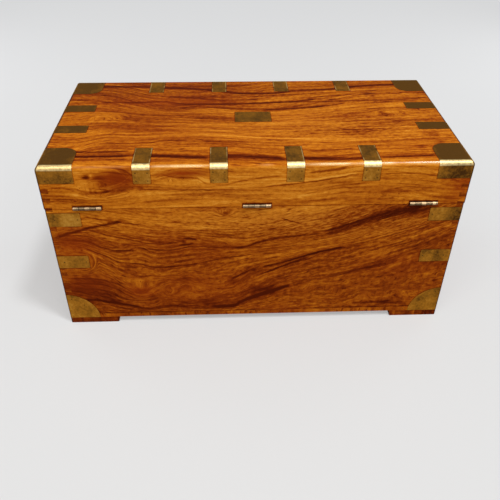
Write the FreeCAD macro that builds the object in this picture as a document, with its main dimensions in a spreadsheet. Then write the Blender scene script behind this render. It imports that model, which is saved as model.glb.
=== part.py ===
"""Brass-bound campaign chest with a lift-up lid, as a parametric FreeCAD document.

Millimetres. +X runs along the chest, +Y points to its back, where the hinges are, and +Z is up. The origin
is the middle of the footprint, on the floor. The chest is closed and unlocked, and its handles hang.
"""

import FreeCAD, Part
import os
import re

SIZES = {
    # The box
    "chest_length": 965,
    "chest_depth": 487,
    "chest_height": 463,
    "lid_height": 109.4,
    "board": 18,
    "bottom_thickness": 12.5,
    "top_thickness": 14,
    "oversail": 1.5,
    "joint_gap": 0.4,
    "edge_round": 11,
    "corner_round": 4,
    # Feet
    "foot_height": 17.5,
    "foot_length": 125,
    "foot_side_length": 96,
    "foot_thickness": 24,
    "foot_round": 4,
    # Through dovetails
    "chest_tails": 12,
    "lid_tails": 4,
    "tail_gap_inside": 12,
    "tail_gap_outside": 7,
    # Inlaid brass
    "brass": 1.6,
    "brass_proud": 0.2,
    "brass_corner": 3,
    "strap_width": 39,
    "strap_reach": 83,
    "strap_drop": 45,
    "strap_near": 85,
    "strap_far": 255,
    "strap_end": 60,
    "bracket_length": 80,
    "bracket_depth": 88,
    "bracket_drop": 42,
    "bracket_round": 32,
    "plate_length": 90,
    "plate_depth": 58,
    "wrap_length": 77,
    "wrap_side": 77,
    "wrap_height": 36.5,
    "wrap_below_joint": 10.6,
    "wrap_middle": 201.5,
    "heel_radius": 78,
    # Pins through the brass
    "pin_head": 1.5,
    "pin_tip": 0.6,
    "pin_length": 13,
    "pin_edge": 6.5,
    "pin_end": 7,
    "pin_proud": 0.15,
    # Butt hinges
    "hinge_spacing": 385,
    "hinge_length": 64,
    "barrel": 4,
    "barrel_gap": 0.2,
    "barrel_room": 0.6,
    "axis_rise": 3,
    "axis_behind": 2.3,
    "hinge_pin": 1.6,
    "pin_clearance": 0.05,
    "leaf": 1.8,
    "leaf_gap": 0.2,
    "leaf_lip": 2.3,
    "screw_head": 3.4,
    "screw_shank": 1.7,
    "screw_head_depth": 1.6,
    "screw_length": 14,
    # Box lock
    "lock_length": 80,
    "lock_depth": 13,
    "lock_height": 46,
    "loop_spacing": 36,
    "loop_thickness": 3,
    "loop_width": 8,
    "loop_drop": 14.5,
    "loop_room": 1,
    "loop_window": 5.6,
    "bolt_section": 4,
    "bolt_room": 0.3,
    "bolt_travel": 7,
    "key_drop": 30,
    "key_shank": 2.4,
    "key_clearance": 0.08,
    "key_bit": 6.6,
    "key_bit_thickness": 1.8,
    "keyhole_room": 0.5,
    "key_bow": 8,
    "key_bow_wire": 1.8,
    "key_neck": 1.5,
    "lock_screw_bite": 4,
    "escutcheon_length": 34,
    "escutcheon_height": 46,
    # Drop handles on the ends
    "handle_level": 232,
    "handle_plate_length": 124,
    "handle_plate_height": 50,
    "handle_plate": 2.5,
    "handle_spacing": 88,
    "handle_axis_out": 9,
    "lug_width": 8,
    "lug_radius": 6.5,
    "bail_rod": 4.2,
    "bail_drop": 42,
    "bail_corner": 14,
    "bail_stub": 2.6,
    "bail_gap": 0.6,
    # Slotted lid stays
    "stay_radius": 150,
    "stay_offset": 25,
    "lid_opening": 100,
    "stay_width": 15,
    "stay_thickness": 2.5,
    "stay_spacer": 1,
    "stay_gap": 0.2,
    "stud_shank": 3,
    "stud_head": 6,
    "stud_head_height": 2,
    "stud_depth": 12,
    "slot_room": 0.5,
    # How far a cutting block runs past the face that it cuts
    "margin": 8,
}
WORKED_OUT = {
    "half_length": "chest_length / 2",
    "half_depth": "chest_depth / 2",
    "joint": "chest_height - lid_height",
    "floor_top": "foot_height + bottom_thickness",
    "lid_bottom": "joint + joint_gap",
    "lid_half_length": "half_length + oversail",
    "lid_half_depth": "half_depth",
    "under_top": "chest_height - top_thickness",
    "inner_length": "half_length - board",
    "inner_depth": "half_depth - board",
    "wrap_top": "joint - wrap_below_joint",
    "axis_y": "half_depth + axis_behind",
    "axis_z": "joint + axis_rise",
    "leaf_depth": "board + axis_behind - leaf_lip",
    "lock_front": "-half_depth + board - lock_depth",
    "lock_middle": "-half_depth + board - lock_depth / 2",
    "key_z": "joint - key_drop",
    "handle_axis_x": "half_length + handle_plate + handle_axis_out",
    "stay_reach": "sqrt(stay_radius * stay_radius - stay_offset * stay_offset)",
    "stay_y": "axis_y - stay_reach",
    "stay_open_chord": "2 * (stay_offset * cos(lid_opening / 2) + stay_reach * sin(lid_opening / 2))",
    "stay_inner": "inner_length - stay_spacer - stay_gap - stay_thickness",
}

doc = FreeCAD.newDocument("campaign_chest")
sheet = doc.addObject("Spreadsheet::Sheet", "sizes")
NAMES = list(SIZES) + list(WORKED_OUT)


def fill_sheet():
    """Write every size, then every size worked out from others, each under its own alias."""
    for row, name in enumerate(NAMES, 1):
        sheet.set(f"A{row}", name)
        sheet.set(f"B{row}", str(SIZES[name]) if name in SIZES else "=" + WORKED_OUT[name])
        sheet.setAlias(f"B{row}", name)
    doc.recompute()


def size(name):
    """The present value of one size."""
    return float(sheet.get(name))


def bound(text):
    """An expression on the sheet's aliases, as a property outside the sheet has to write it."""
    return re.sub(r"[a-z_]+", lambda word: "sizes." + word[0] if word[0] in NAMES else word[0], text)


def bind(thing, **expressions):
    for prop, text in expressions.items():
        thing.setExpression(prop, bound(text))


def place(thing, x, y, z, rotation=None):
    if rotation is not None:
        thing.Placement = FreeCAD.Placement(FreeCAD.Vector(), rotation)
    for letter, text in (("x", x), ("y", y), ("z", z)):
        thing.setExpression("Placement.Base." + letter, bound(text))
    return thing


def span(sign, near, far):
    """The low and high end of a stretch that lies from near to far on the plus or the minus side."""
    return (near, far) if sign > 0 else (f"-({far})", f"-({near})")


def around(middle, width):
    return f"({middle}) - ({width}) / 2", f"({middle}) + ({width}) / 2"


def box(name, x, y, z):
    """A block between two expressions along each axis."""
    block = doc.addObject("Part::Box", name)
    bind(block, Length=f"({x[1]}) - ({x[0]})", Width=f"({y[1]}) - ({y[0]})", Height=f"({z[1]}) - ({z[0]})")
    return place(block, x[0], y[0], z[0])


# Turns that lay a shape's own +Z along an axis of the chest
TURNS = {
    "+x": FreeCAD.Rotation(FreeCAD.Vector(0, 1, 0), 90),
    "-x": FreeCAD.Rotation(FreeCAD.Vector(0, 1, 0), -90),
    "+y": FreeCAD.Rotation(FreeCAD.Vector(1, 0, 0), -90),
    "-y": FreeCAD.Rotation(FreeCAD.Vector(1, 0, 0), 90),
    "+z": FreeCAD.Rotation(),
    "-z": FreeCAD.Rotation(FreeCAD.Vector(1, 0, 0), 180),
}


def rod(name, towards, radius, length, start):
    """A cylinder that leaves the point start towards an axis such as "-y"."""
    cylinder = doc.addObject("Part::Cylinder", name)
    bind(cylinder, Radius=radius, Height=length)
    return place(cylinder, *start, TURNS[towards])


def cone(name, towards, radii, length, start):
    taper = doc.addObject("Part::Cone", name)
    bind(taper, Radius1=radii[0], Radius2=radii[1], Height=length)
    return place(taper, *start, TURNS[towards])


def fuse(name, parts):
    if len(parts) == 1:
        return parts[0]
    fused = doc.addObject("Part::MultiFuse", name)
    fused.Shapes = parts
    fused.Refine = True
    return fused


def group(name, parts):
    """Separate solids under one name."""
    together = doc.addObject("Part::Compound", name)
    together.Links = parts
    return together


def cut(name, base, tools):
    """The base with each tool taken away in turn."""
    for number, tool in enumerate(tools, 1):
        last = number == len(tools)
        piece = doc.addObject("Part::Cut", name if last else f"{name}_step_{number}")
        piece.Base = base
        piece.Tool = tool
        base = piece
    return base


def common(name, one, other):
    both = doc.addObject("Part::Common", name)
    both.Base = one
    both.Tool = other
    return both


def rounded(name, base, edges):
    """The base with some edges rounded. edges takes an edge and gives its radius, or 0."""
    base.recompute()
    fillet = doc.addObject("Part::Fillet", name)
    fillet.Base = base
    numbered = [(number, edges(edge)) for number, edge in enumerate(base.Shape.Edges, 1)]
    fillet.Edges = [(number, radius, radius) for number, radius in numbered if radius > 0]
    return fillet


def runs_along(edge, axis):
    """Whether a straight edge is parallel to axis 0, 1 or 2."""
    ends = [vertex.Point for vertex in edge.Vertexes]
    return all(abs(ends[0][other] - ends[1][other]) < 1e-6 for other in range(3) if other != axis)


def block_rounded(name, axis, spans, radius, only_inner=False):
    """A block with the edges along one axis rounded: all four, or the one nearest the chest's middle."""
    raw = box(name + "_block", *spans)
    raw.recompute()
    along = [edge for edge in raw.Shape.Edges if runs_along(edge, axis)]
    flat = [other for other in range(3) if other != axis]
    reach = [sum(abs(edge.CenterOfMass[other]) for other in flat) for edge in along]
    nearest = along[reach.index(min(reach))].CenterOfMass

    def radius_of(edge):
        if not runs_along(edge, axis):
            return 0
        if only_inner and edge.CenterOfMass.distanceToPoint(nearest) > 1e-6:
            return 0
        return radius

    return rounded(name, raw, radius_of)


def envelope(name, half_length, half_depth, bottom, top, top_round, grow):
    """The outside of the chest or its lid, grown or shrunk by an expression, with its edges rounded."""
    raw = box(
        name + "_block",
        (f"-({half_length}) - ({grow})", f"{half_length} + ({grow})"),
        (f"-({half_depth}) - ({grow})", f"{half_depth} + ({grow})"),
        (bottom, top),
    )
    raw.recompute()
    grown = float(raw.Length) / 2 - size(half_length)
    upright = rounded(name + "_upright" if top_round else name, raw,
                      lambda edge: size("corner_round") + grown if runs_along(edge, 2) else 0)
    if not top_round:
        return upright
    roof = raw.Shape.BoundBox.ZMax - 1e-3
    return rounded(name, upright,
                   lambda edge: size(top_round) + grown if edge.BoundBox.ZMin > roof else 0)


nodes = {}


def node(name, thing):
    """Name a finished sub-part."""
    thing.Label = name
    nodes[name] = thing
    return thing


def dovetail_gaps(name, sign, tails, bottom, top):
    """The wedges between the tails at one end, as long as the chest is deep and narrowest outside."""
    pitch = f"(({top}) - ({bottom})) / {tails}"
    wedges = []
    for number in range(int(size(tails)) + 1):
        wedge = doc.addObject("Part::Wedge", f"{name}_{number}")
        bind(
            wedge,
            Xmin="0", Xmax="chest_depth", X2min="0", X2max="chest_depth",
            Ymin="0", Ymax="board + oversail",
            Zmin="-tail_gap_inside / 2", Zmax="tail_gap_inside / 2",
            Z2min="-tail_gap_outside / 2", Z2max="tail_gap_outside / 2",
        )
        turn = FreeCAD.Rotation(FreeCAD.Vector(0, 0, 1), -90 * sign)
        level = f"({bottom}) + {number} * {pitch}"
        wedges.append(place(wedge, f"{sign} * inner_length", f"{sign} * half_depth", level, turn))
    return group(name, wedges)


def walls(prefix, tails, bottom, top, half_length, zone):
    """Four boards round a box, dovetailed at its corners and trimmed to the zone that they share."""
    gaps = {sign: dovetail_gaps(f"{prefix}_gaps_{side}", sign, tails, bottom, top)
            for sign, side in ((1, "right"), (-1, "left"))}
    boards = {}
    for side, sign in (("back", 1), ("front", -1)):
        blank = box(f"{prefix}_{side}_blank", span(1, f"-({half_length})", half_length),
                    span(sign, "inner_depth", "half_depth"), (bottom, top))
        tailed = cut(f"{prefix}_{side}_tailed", blank, [gaps[1], gaps[-1]])
        boards[side] = common(f"{prefix}_{side}_board", tailed, zone)
    for side, sign in (("right", 1), ("left", -1)):
        blank = box(f"{prefix}_{side}_blank", span(sign, "inner_length", half_length),
                    ("-inner_depth", "inner_depth"), (bottom, top))
        pinned = fuse(f"{prefix}_{side}_pinned", [blank, *gaps[sign].Links])
        boards[side] = common(f"{prefix}_{side}_board", pinned, zone)
    return boards


CORNERS = {
    "back_left": (-1, 1),
    "back_right": (1, 1),
    "front_left": (-1, -1),
    "front_right": (1, -1),
}
SIDES = {"back": (1, 1), "front": (1, -1), "left": (0, -1), "right": (0, 1)}


def pin_from(face, name, x, y, z, length="pin_length"):
    """One tapered pin driven in through the brass from a face: top, back, front, left or right."""
    towards = {"top": "-z", "back": "-y", "front": "+y", "left": "+x", "right": "-x"}[face]
    return cone(name, towards, ("pin_head", "pin_tip"), length, (x, y, z))


def lid_face(face):
    """Where a pin's head lies, out from the middle, on one face of the lid."""
    half = {"back": "lid_half_depth", "front": "lid_half_depth", "top": "chest_height"}
    return half.get(face, "lid_half_length") + " + brass_proud + pin_proud"


def chest_face(face):
    half = "half_depth" if face in ("back", "front") else "half_length"
    return half + " + brass_proud + pin_proud"


def strap(side, number, middle, skin):
    """A brass band over the lid's top edge, with the pins through it."""
    axis, sign = SIDES[side]
    name = f"strap_{side}_{number}"
    across = around(middle, "strap_width")
    edge = "lid_half_depth" if axis else "lid_half_length"
    inwards = span(sign, f"{edge} - strap_reach", f"{edge} + margin")
    top_leg = [across, inwards] if axis else [inwards, across]
    top_leg.append(("chest_height - edge_round", "chest_height + margin"))
    outwards = span(sign, f"{edge} - edge_round", f"{edge} + margin")
    side_leg = [across, outwards] if axis else [outwards, across]
    side_leg.append(("chest_height - strap_drop", "chest_height + margin"))
    legs = [
        block_rounded(name + "_top", 2, top_leg, size("brass_corner")),
        block_rounded(name + "_side", axis, side_leg, size("brass_corner")),
    ]
    band = common(name, skin, fuse(name + "_legs", legs))
    pins = []
    for offset in (-1, 1):
        along = f"({middle}) + {offset} * (strap_width / 2 - pin_edge)"
        inner = f"{sign} * ({edge} - strap_reach + pin_end)"
        top_spot = (along, inner) if axis else (inner, along)
        pins.append(pin_from("top", f"{name}_pin_top_{offset + 1}", *top_spot, lid_face("top")))
        out = f"{sign} * ({lid_face(side)})"
        side_spot = (along, out) if axis else (out, along)
        for row, drop in enumerate(("edge_round + pin_end", "strap_drop - pin_end")):
            level = f"chest_height - ({drop})"
            pins.append(pin_from(side, f"{name}_pin_{row}_{offset + 1}", *side_spot, level))
    return band, pins


def bracket(corner, skin):
    """A three-way brass corner of the lid, round at its inner corner on top."""
    right, back = CORNERS[corner]
    name = f"bracket_{corner}"
    along = span(right, "lid_half_length - bracket_length", "lid_half_length + margin")
    deep = span(back, "lid_half_depth - bracket_depth", "lid_half_depth + margin")
    end = span(right, "lid_half_length - edge_round", "lid_half_length + margin")
    face = span(back, "lid_half_depth - edge_round", "lid_half_depth + margin")
    high = ("chest_height - bracket_drop", "chest_height + margin")
    top = ("chest_height - edge_round", "chest_height + margin")
    legs = [
        block_rounded(name + "_top", 2, (along, deep, top), size("bracket_round"), only_inner=True),
        block_rounded(name + "_long", 1, (along, face, high), size("brass_corner")),
        block_rounded(name + "_end", 0, (end, deep, high), size("brass_corner")),
    ]
    shell = common(name, skin, fuse(name + "_legs", legs))
    back_face, end_face = ("back" if back > 0 else "front"), ("right" if right > 0 else "left")
    far_x = f"{right} * (lid_half_length - bracket_length + pin_end)"
    far_y = f"{back} * (lid_half_depth - bracket_depth + pin_end)"
    near_x = f"{right} * (lid_half_length - edge_round - pin_end)"
    near_y = f"{back} * (lid_half_depth - edge_round - pin_end)"
    out_x = f"{right} * ({lid_face(end_face)})"
    out_y = f"{back} * ({lid_face(back_face)})"
    low = "chest_height - bracket_drop + pin_end"
    pins = [
        pin_from("top", name + "_pin_1", far_x, near_y, lid_face("top")),
        pin_from("top", name + "_pin_2", near_x, far_y, lid_face("top")),
        pin_from(back_face, name + "_pin_3", far_x, out_y, low),
        pin_from(back_face, name + "_pin_4", near_x, out_y, low),
        pin_from(end_face, name + "_pin_5", out_x, far_y, low),
        pin_from(end_face, name + "_pin_6", out_x, near_y, low),
    ]
    return shell, pins


def name_plate(skin):
    spans = (around("0", "plate_length"), around("0", "plate_depth"), ("under_top", "chest_height + margin"))
    outline = block_rounded("plate_outline", 2, spans, size("brass_corner"))
    plate = common("name_plate_whole", skin, outline)
    pins = []
    for right, back in CORNERS.values():
        x = f"{right} * (plate_length / 2 - pin_edge)"
        y = f"{back} * (plate_depth / 2 - pin_edge)"
        pins.append(pin_from("top", f"plate_pin_{right + 1}_{back + 1}", x, y, lid_face("top")))
    return plate, pins


def wrap(kind, corner, bottom, skin):
    """A brass plate bent round one upright corner of the chest."""
    right, back = CORNERS[corner]
    name = f"{kind}_wrap_{corner}"
    along = span(right, "half_length - wrap_length", "half_length + margin")
    deep = span(back, "half_depth - wrap_side", "half_depth + margin")
    end = span(right, "half_length - corner_round", "half_length + margin")
    face = span(back, "half_depth - corner_round", "half_depth + margin")
    high = (bottom, f"{bottom} + wrap_height")
    legs = [
        block_rounded(name + "_long", 1, (along, face, high), size("brass_corner")),
        block_rounded(name + "_end", 0, (end, deep, high), size("brass_corner")),
    ]
    plate = common(name, skin, fuse(name + "_legs", legs))
    middle = f"{bottom} + wrap_height / 2"
    return plate, corner_pins(name, right, back, middle, "wrap_length", "wrap_side")


def corner_pins(name, right, back, level, length, side):
    """Four pins through a plate round an upright corner: two in each leg, at one level."""
    back_face, end_face = ("back" if back > 0 else "front"), ("right" if right > 0 else "left")
    out_x = f"{right} * ({chest_face(end_face)})"
    out_y = f"{back} * ({chest_face(back_face)})"
    pins = []
    for number, inset in enumerate(("{} - pin_end", "corner_round + 2 * pin_end")):
        x = f"{right} * (half_length - ({inset.format(length)}))"
        y = f"{back} * (half_depth - ({inset.format(side)}))"
        pins.append(pin_from(back_face, f"{name}_pin_long_{number}", x, out_y, level))
        pins.append(pin_from(end_face, f"{name}_pin_end_{number}", out_x, y, level))
    return pins


def heel(corner, skin):
    """A brass base corner: a quarter disc on each face, with its middle at the chest's lowest corner."""
    right, back = CORNERS[corner]
    name = f"heel_{corner}"
    x, y = f"{right} * half_length", f"{back} * half_depth"
    reach = "corner_round + 2 * margin"
    on_long = rod(name + "_long", "+y", "heel_radius", reach, (x, f"({y}) - ({reach}) / 2", "foot_height"))
    on_end = rod(name + "_end", "+x", "heel_radius", reach, (f"({x}) - ({reach}) / 2", y, "foot_height"))
    plate = common(name, skin, fuse(name + "_discs", [on_long, on_end]))
    back_face, end_face = ("back" if back > 0 else "front"), ("right" if right > 0 else "left")
    out_x = f"{right} * ({chest_face(end_face)})"
    out_y = f"{back} * ({chest_face(back_face)})"
    pins = []
    for number, (away, up) in enumerate((("heel_radius - 2 * pin_end", "pin_end"),
                                         ("heel_radius * 0.55", "heel_radius * 0.55"),
                                         ("2 * pin_end", "heel_radius - 2 * pin_end"))):
        level = f"foot_height + {up}"
        along = f"{right} * (half_length - {away})"
        deep = f"{back} * (half_depth - {away})"
        pins.append(pin_from(back_face, f"{name}_pin_long_{number}", along, out_y, level))
        pins.append(pin_from(end_face, f"{name}_pin_end_{number}", out_x, deep, level))
    return plate, pins


def screw(name, towards, start, length="screw_length"):
    """A countersunk screw whose head is flush at start."""
    head = cone(name + "_head", towards, ("screw_head", "screw_shank"), "screw_head_depth", start)
    shank = rod(name + "_shank", towards, "screw_shank", length, start)
    return fuse(name, [head, shank])


KNUCKLES = 5
HINGES = {"left": "-hinge_spacing", "middle": "0", "right": "hinge_spacing"}


def knuckle_span(middle, number):
    """One knuckle's stretch along X. Each is short of its share of the hinge by half a gap at both ends."""
    pitch = f"hinge_length / {KNUCKLES}"
    start = f"({middle}) - hinge_length / 2 + {number} * {pitch}"
    return f"{start} + barrel_gap / 2", f"{start} + {pitch} - barrel_gap / 2"


def leaf(name, middle, own, bottom, pin_room):
    """A hinge leaf: a plate let in under the lid, with the knuckles that own lists."""
    reach = "axis_y - barrel - barrel_room"
    parts = [box(name + "_plate", around(middle, "hinge_length"), ("axis_y - leaf_depth", reach),
                 (bottom, f"{bottom} + leaf"))]
    for number in own:
        x = knuckle_span(middle, number)
        parts.append(box(f"{name}_neck_{number}", x, (reach, "axis_y"), (bottom, f"{bottom} + leaf")))
        parts.append(rod(f"{name}_knuckle_{number}", "+x", "barrel", f"({x[1]}) - ({x[0]})",
                         (x[0], "axis_y", "axis_z")))
    bore = rod(name + "_bore", "+x", f"hinge_pin + {pin_room}", "hinge_length + 2 * margin",
               (f"({middle}) - hinge_length / 2 - margin", "axis_y", "axis_z"))
    return cut(name + "_bored", fuse(name + "_fused", parts), [bore])


def hinges():
    """Three butts: the leaves, their pins and screws, and the blocks that let them into the wood."""
    made = {"pins": [], "chest_screws": [], "lid_screws": [], "lid_recess": [], "chest_recess": []}
    lid_leaf_bottom = "joint + leaf + leaf_gap"
    row = "axis_y - leaf_depth + 2 * screw_head"
    for side, middle in HINGES.items():
        spots = [f"({middle}) + {step} * hinge_length / 3" for step in (-1, 0, 1)]
        down = [screw(f"hinge_{side}_down_{number}", "-z", (x, row, "joint + leaf"))
                for number, x in enumerate(spots)]
        up = [screw(f"hinge_{side}_up_{number}", "+z", (x, row, lid_leaf_bottom))
              for number, x in enumerate(spots)]
        made["chest_screws"] += down
        made["lid_screws"] += up
        fixed = leaf(f"hinge_{side}_fixed", middle, (0, 2, 4), "joint", "0")
        swung = leaf(f"hinge_{side}_swung", middle, (1, 3), lid_leaf_bottom, "pin_clearance")
        for part, raw, screws in (("chest", fixed, down), ("lid", swung, up)):
            name = f"hinge_{side}_{part}_leaf"
            node(name, cut(name, raw, [group(name + "_screws", screws)]))
        made["pins"].append(rod(f"hinge_{side}_pin", "+x", "hinge_pin", "hinge_length",
                                (f"({middle}) - hinge_length / 2", "axis_y", "axis_z")))
        wide = around(middle, "hinge_length + barrel_room")
        made["lid_recess"].append(box(f"hinge_{side}_lid_recess", wide,
                                      ("axis_y - leaf_depth - barrel_room / 2", "half_depth + margin"),
                                      ("joint", f"{lid_leaf_bottom} + leaf")))
        made["lid_recess"].append(box(f"hinge_{side}_barrel_recess", wide,
                                      ("axis_y - barrel - barrel_room", "half_depth + margin"),
                                      ("joint", "axis_z + barrel + barrel_room")))
        made["chest_recess"].append(rod(f"hinge_{side}_chest_recess", "+x", "barrel + barrel_room / 2",
                                        "hinge_length + barrel_room", (wide[0], "axis_y", "axis_z")))
    return made


def keyhole(name, y, room):
    """A hole for the key: round for the shank, with a slot below it for the bit."""
    length = f"({y[1]}) - ({y[0]})"
    return fuse(name, [
        rod(name + "_round", "+y", f"key_shank + {room}", length, ("0", y[0], "key_z")),
        box(name + "_slot", around("0", f"key_bit_thickness + 2 * {room}"), y,
            (f"key_z - key_bit - {room}", "key_z")),
    ])


def lock():
    """A box lock in the front board, with its bolt drawn back, its link plate on the lid, and its key."""
    lock_back = "lock_front + lock_depth"
    case_span = (around("0", "lock_length"), ("lock_front", lock_back), ("joint - lock_height", "joint"))
    blank = box("lock_blank", *case_span)
    bolt_top = "joint - loop_drop + 2 * bolt_section - bolt_room"
    rail_top = "joint - loop_drop - 2"
    rail_bottom = f"{rail_top} - bolt_section"
    channel_y = around("lock_middle", "bolt_section + 2 * bolt_room")
    channel_x = ("-loop_spacing / 2 - 3.75 * bolt_section - bolt_room",
                 "loop_spacing / 2 - loop_thickness + bolt_travel + bolt_room")
    channel = box("bolt_channel", channel_x, channel_y,
                  (f"{rail_bottom} - bolt_room", f"{bolt_top} + 2 * bolt_room"))
    slots = []
    for side in (-1, 1):
        slots.append(box(f"loop_slot_{side + 1}",
                         around(f"{side} * loop_spacing / 2", "loop_thickness + 2 * loop_room"),
                         around("lock_middle", "loop_width + 2 * loop_room"),
                         ("joint - loop_drop - loop_room", "joint + margin")))
    key_room = rod("key_room", "+y", "key_bit + keyhole_room", "bolt_section + 2 * bolt_room",
                   ("0", channel_y[0], "key_z"))
    pivot = rod("key_pivot", "+y", "key_shank + key_clearance", "lock_depth", ("0", "lock_middle", "key_z"))
    way_in = keyhole("lock_keyhole", ("lock_front - margin", "lock_middle"), "keyhole_room")
    case_screws = []
    for across in (-1, 1):
        for level in ("joint - 1.8 * screw_head", "joint - lock_height + 1.8 * screw_head"):
            spot = (f"{across} * (lock_length / 2 - 1.3 * screw_head)", lock_back, level)
            case_screws.append(screw(f"lock_screw_{len(case_screws)}", "-y", spot,
                                     "lock_depth + lock_screw_bite"))
    held = group("lock_screw_holes", case_screws)
    node("lock_case", cut("lock_case", blank, [channel, *slots, key_room, pivot, way_in, held]))

    thick = around("lock_middle", "bolt_section")
    rail_x = ("-loop_spacing / 2 - 3.75 * bolt_section", "loop_spacing / 2 - 2.25 * bolt_section")
    parts = [box("bolt_rail", rail_x, thick, (rail_bottom, rail_top))]
    for side in (-1, 1):
        post = f"{side} * loop_spacing / 2 - 3.75 * bolt_section"
        parts.append(box(f"bolt_post_{side + 1}", (post, f"{post} + 1.5 * bolt_section"), thick,
                         (rail_bottom, bolt_top)))
        tooth = (post, f"{side} * loop_spacing / 2 - loop_thickness")
        parts.append(box(f"bolt_tooth_{side + 1}", tooth, thick, (f"{bolt_top} - bolt_section", bolt_top)))
    node("lock_bolt", fuse("lock_bolt", parts))

    link = [box("link_strip", around("0", "lock_length"), around("lock_middle", "loop_width"),
                ("lid_bottom", "lid_bottom + leaf"))]
    for side in (-1, 1):
        link.append(box(f"loop_{side + 1}", around(f"{side} * loop_spacing / 2", "loop_thickness"),
                        around("lock_middle", "loop_width"), ("joint - loop_drop", "lid_bottom + leaf")))
    windows = box("loop_windows", around("0", "lock_length"), around("lock_middle", "loop_window"),
                  around(f"{bolt_top} - bolt_section / 2", "loop_window"))
    screws = []
    for side in (-1, 1):
        spot = (f"{side} * (lock_length / 2 - 2 * screw_head)", "lock_middle", "lid_bottom")
        screws.append(screw(f"link_screw_{side + 1}", "+z", spot))
    link_raw = cut("link_windowed", fuse("link_fused", link), [windows])
    node("lock_link_plate", cut("lock_link_plate", link_raw, [group("link_screw_holes", screws)]))
    strip_recess = box("link_recess", around("0", "lock_length"), around("lock_middle", "loop_width"),
                       ("joint", "lid_bottom + leaf"))

    tip = "lock_middle + lock_depth / 2 - 1"
    bow_y = "-half_depth - brass_proud - key_neck - key_bow + key_bow_wire"
    shank = rod("key_shank_rod", "+y", "key_shank", f"({tip}) - ({bow_y}) - key_bow + key_bow_wire",
                ("0", f"{bow_y} + key_bow - key_bow_wire", "key_z"))
    bit = box("key_bit_block", around("0", "key_bit_thickness"), around("lock_middle", "bolt_section"),
              ("key_z - key_bit", "key_z"))
    bow = doc.addObject("Part::Torus", "key_bow_ring")
    bind(bow, Radius1="key_bow - key_bow_wire", Radius2="key_bow_wire")
    place(bow, "0", bow_y, "key_z", TURNS["+x"])
    node("key", fuse("key", [shank, bit, bow]))
    return {"case": box("lock_recess", *case_span), "link": strip_recess, "screws": screws,
            "case_screws": case_screws}


def handle(side):
    """A drop handle on one end: the plate with its lugs, the bail that swings in them, and four screws."""
    sign = 1 if side == "right" else -1
    out, into = ("+x", "-x") if sign > 0 else ("-x", "+x")
    name = f"handle_{side}"
    face = f"{sign} * half_length"
    axis_x = f"{sign} * handle_axis_x"
    plate = block_rounded(name + "_flat", 0, (span(sign, "half_length", "half_length + handle_plate"),
                                              around("0", "handle_plate_length"),
                                              around("handle_level", "handle_plate_height")),
                          size("lug_radius"))
    parts = [plate]
    for end in (-1, 1):
        lug = around(f"{end} * handle_spacing / 2", "lug_width")
        parts.append(box(f"{name}_lug_{end + 1}", span(sign, "half_length", "handle_axis_x"), lug,
                         around("handle_level", "2 * lug_radius")))
        parts.append(rod(f"{name}_eye_{end + 1}", "+y", "lug_radius", "lug_width",
                         (axis_x, lug[0], "handle_level")))
    bore = rod(name + "_bore", "+y", "bail_stub + pin_clearance", "handle_spacing + 2 * lug_width",
               (axis_x, "-handle_spacing / 2 - lug_width", "handle_level"))
    screws = []
    for right, up in CORNERS.values():
        spot = (f"{face} + {sign} * handle_plate", f"{right} * (handle_plate_length / 2 - 3 * screw_head)",
                f"handle_level + {up} * (handle_plate_height / 2 - 2.4 * screw_head)")
        screws.append(screw(f"{name}_screw_{right + 1}_{up + 1}", into, spot))
    solid = cut(name + "_bored", fuse(name + "_fused", parts), [bore])
    node(f"{name}_plate", cut(f"{name}_plate", solid, [group(name + "_screw_holes", screws)]))

    leg = "(handle_spacing / 2 - lug_width / 2 - bail_gap - bail_rod)"
    drop = "handle_level - bail_drop"
    rods = [rod(name + "_grip", "+y", "bail_rod", f"2 * ({leg} - bail_corner)",
                (axis_x, f"-({leg} - bail_corner)", drop))]
    for end in (-1, 1):
        y = f"{end} * {leg}"
        rods.append(rod(f"{name}_leg_{end + 1}", "+z", "bail_rod", "bail_drop - bail_corner",
                        (axis_x, y, f"{drop} + bail_corner")))
        rods.append(rod(f"{name}_stub_{end + 1}", "+y" if end > 0 else "-y", "bail_stub",
                        "bail_rod + bail_gap + lug_width", (axis_x, y, "handle_level")))
        elbow = doc.addObject("Part::Sphere", f"{name}_elbow_{end + 1}")
        bind(elbow, Radius="bail_rod")
        rods.append(place(elbow, axis_x, y, "handle_level"))
        bend = doc.addObject("Part::Torus", f"{name}_bend_{end + 1}")
        bind(bend, Radius1="bail_corner", Radius2="bail_rod")
        bend.Angle3 = 90
        # The ring lies in the YZ plane: its own X points down and its own Y along the chest's depth.
        lay = FreeCAD.Rotation(FreeCAD.Vector(0, 1, 0), 90) * FreeCAD.Rotation(FreeCAD.Vector(0, 0, 1),
                                                                              0 if end > 0 else -90)
        rods.append(place(bend, axis_x, f"{end} * ({leg} - bail_corner)", f"{drop} + bail_corner", lay))
    node(f"{name}_bail", fuse(f"{name}_bail", rods))
    return screws


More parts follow.
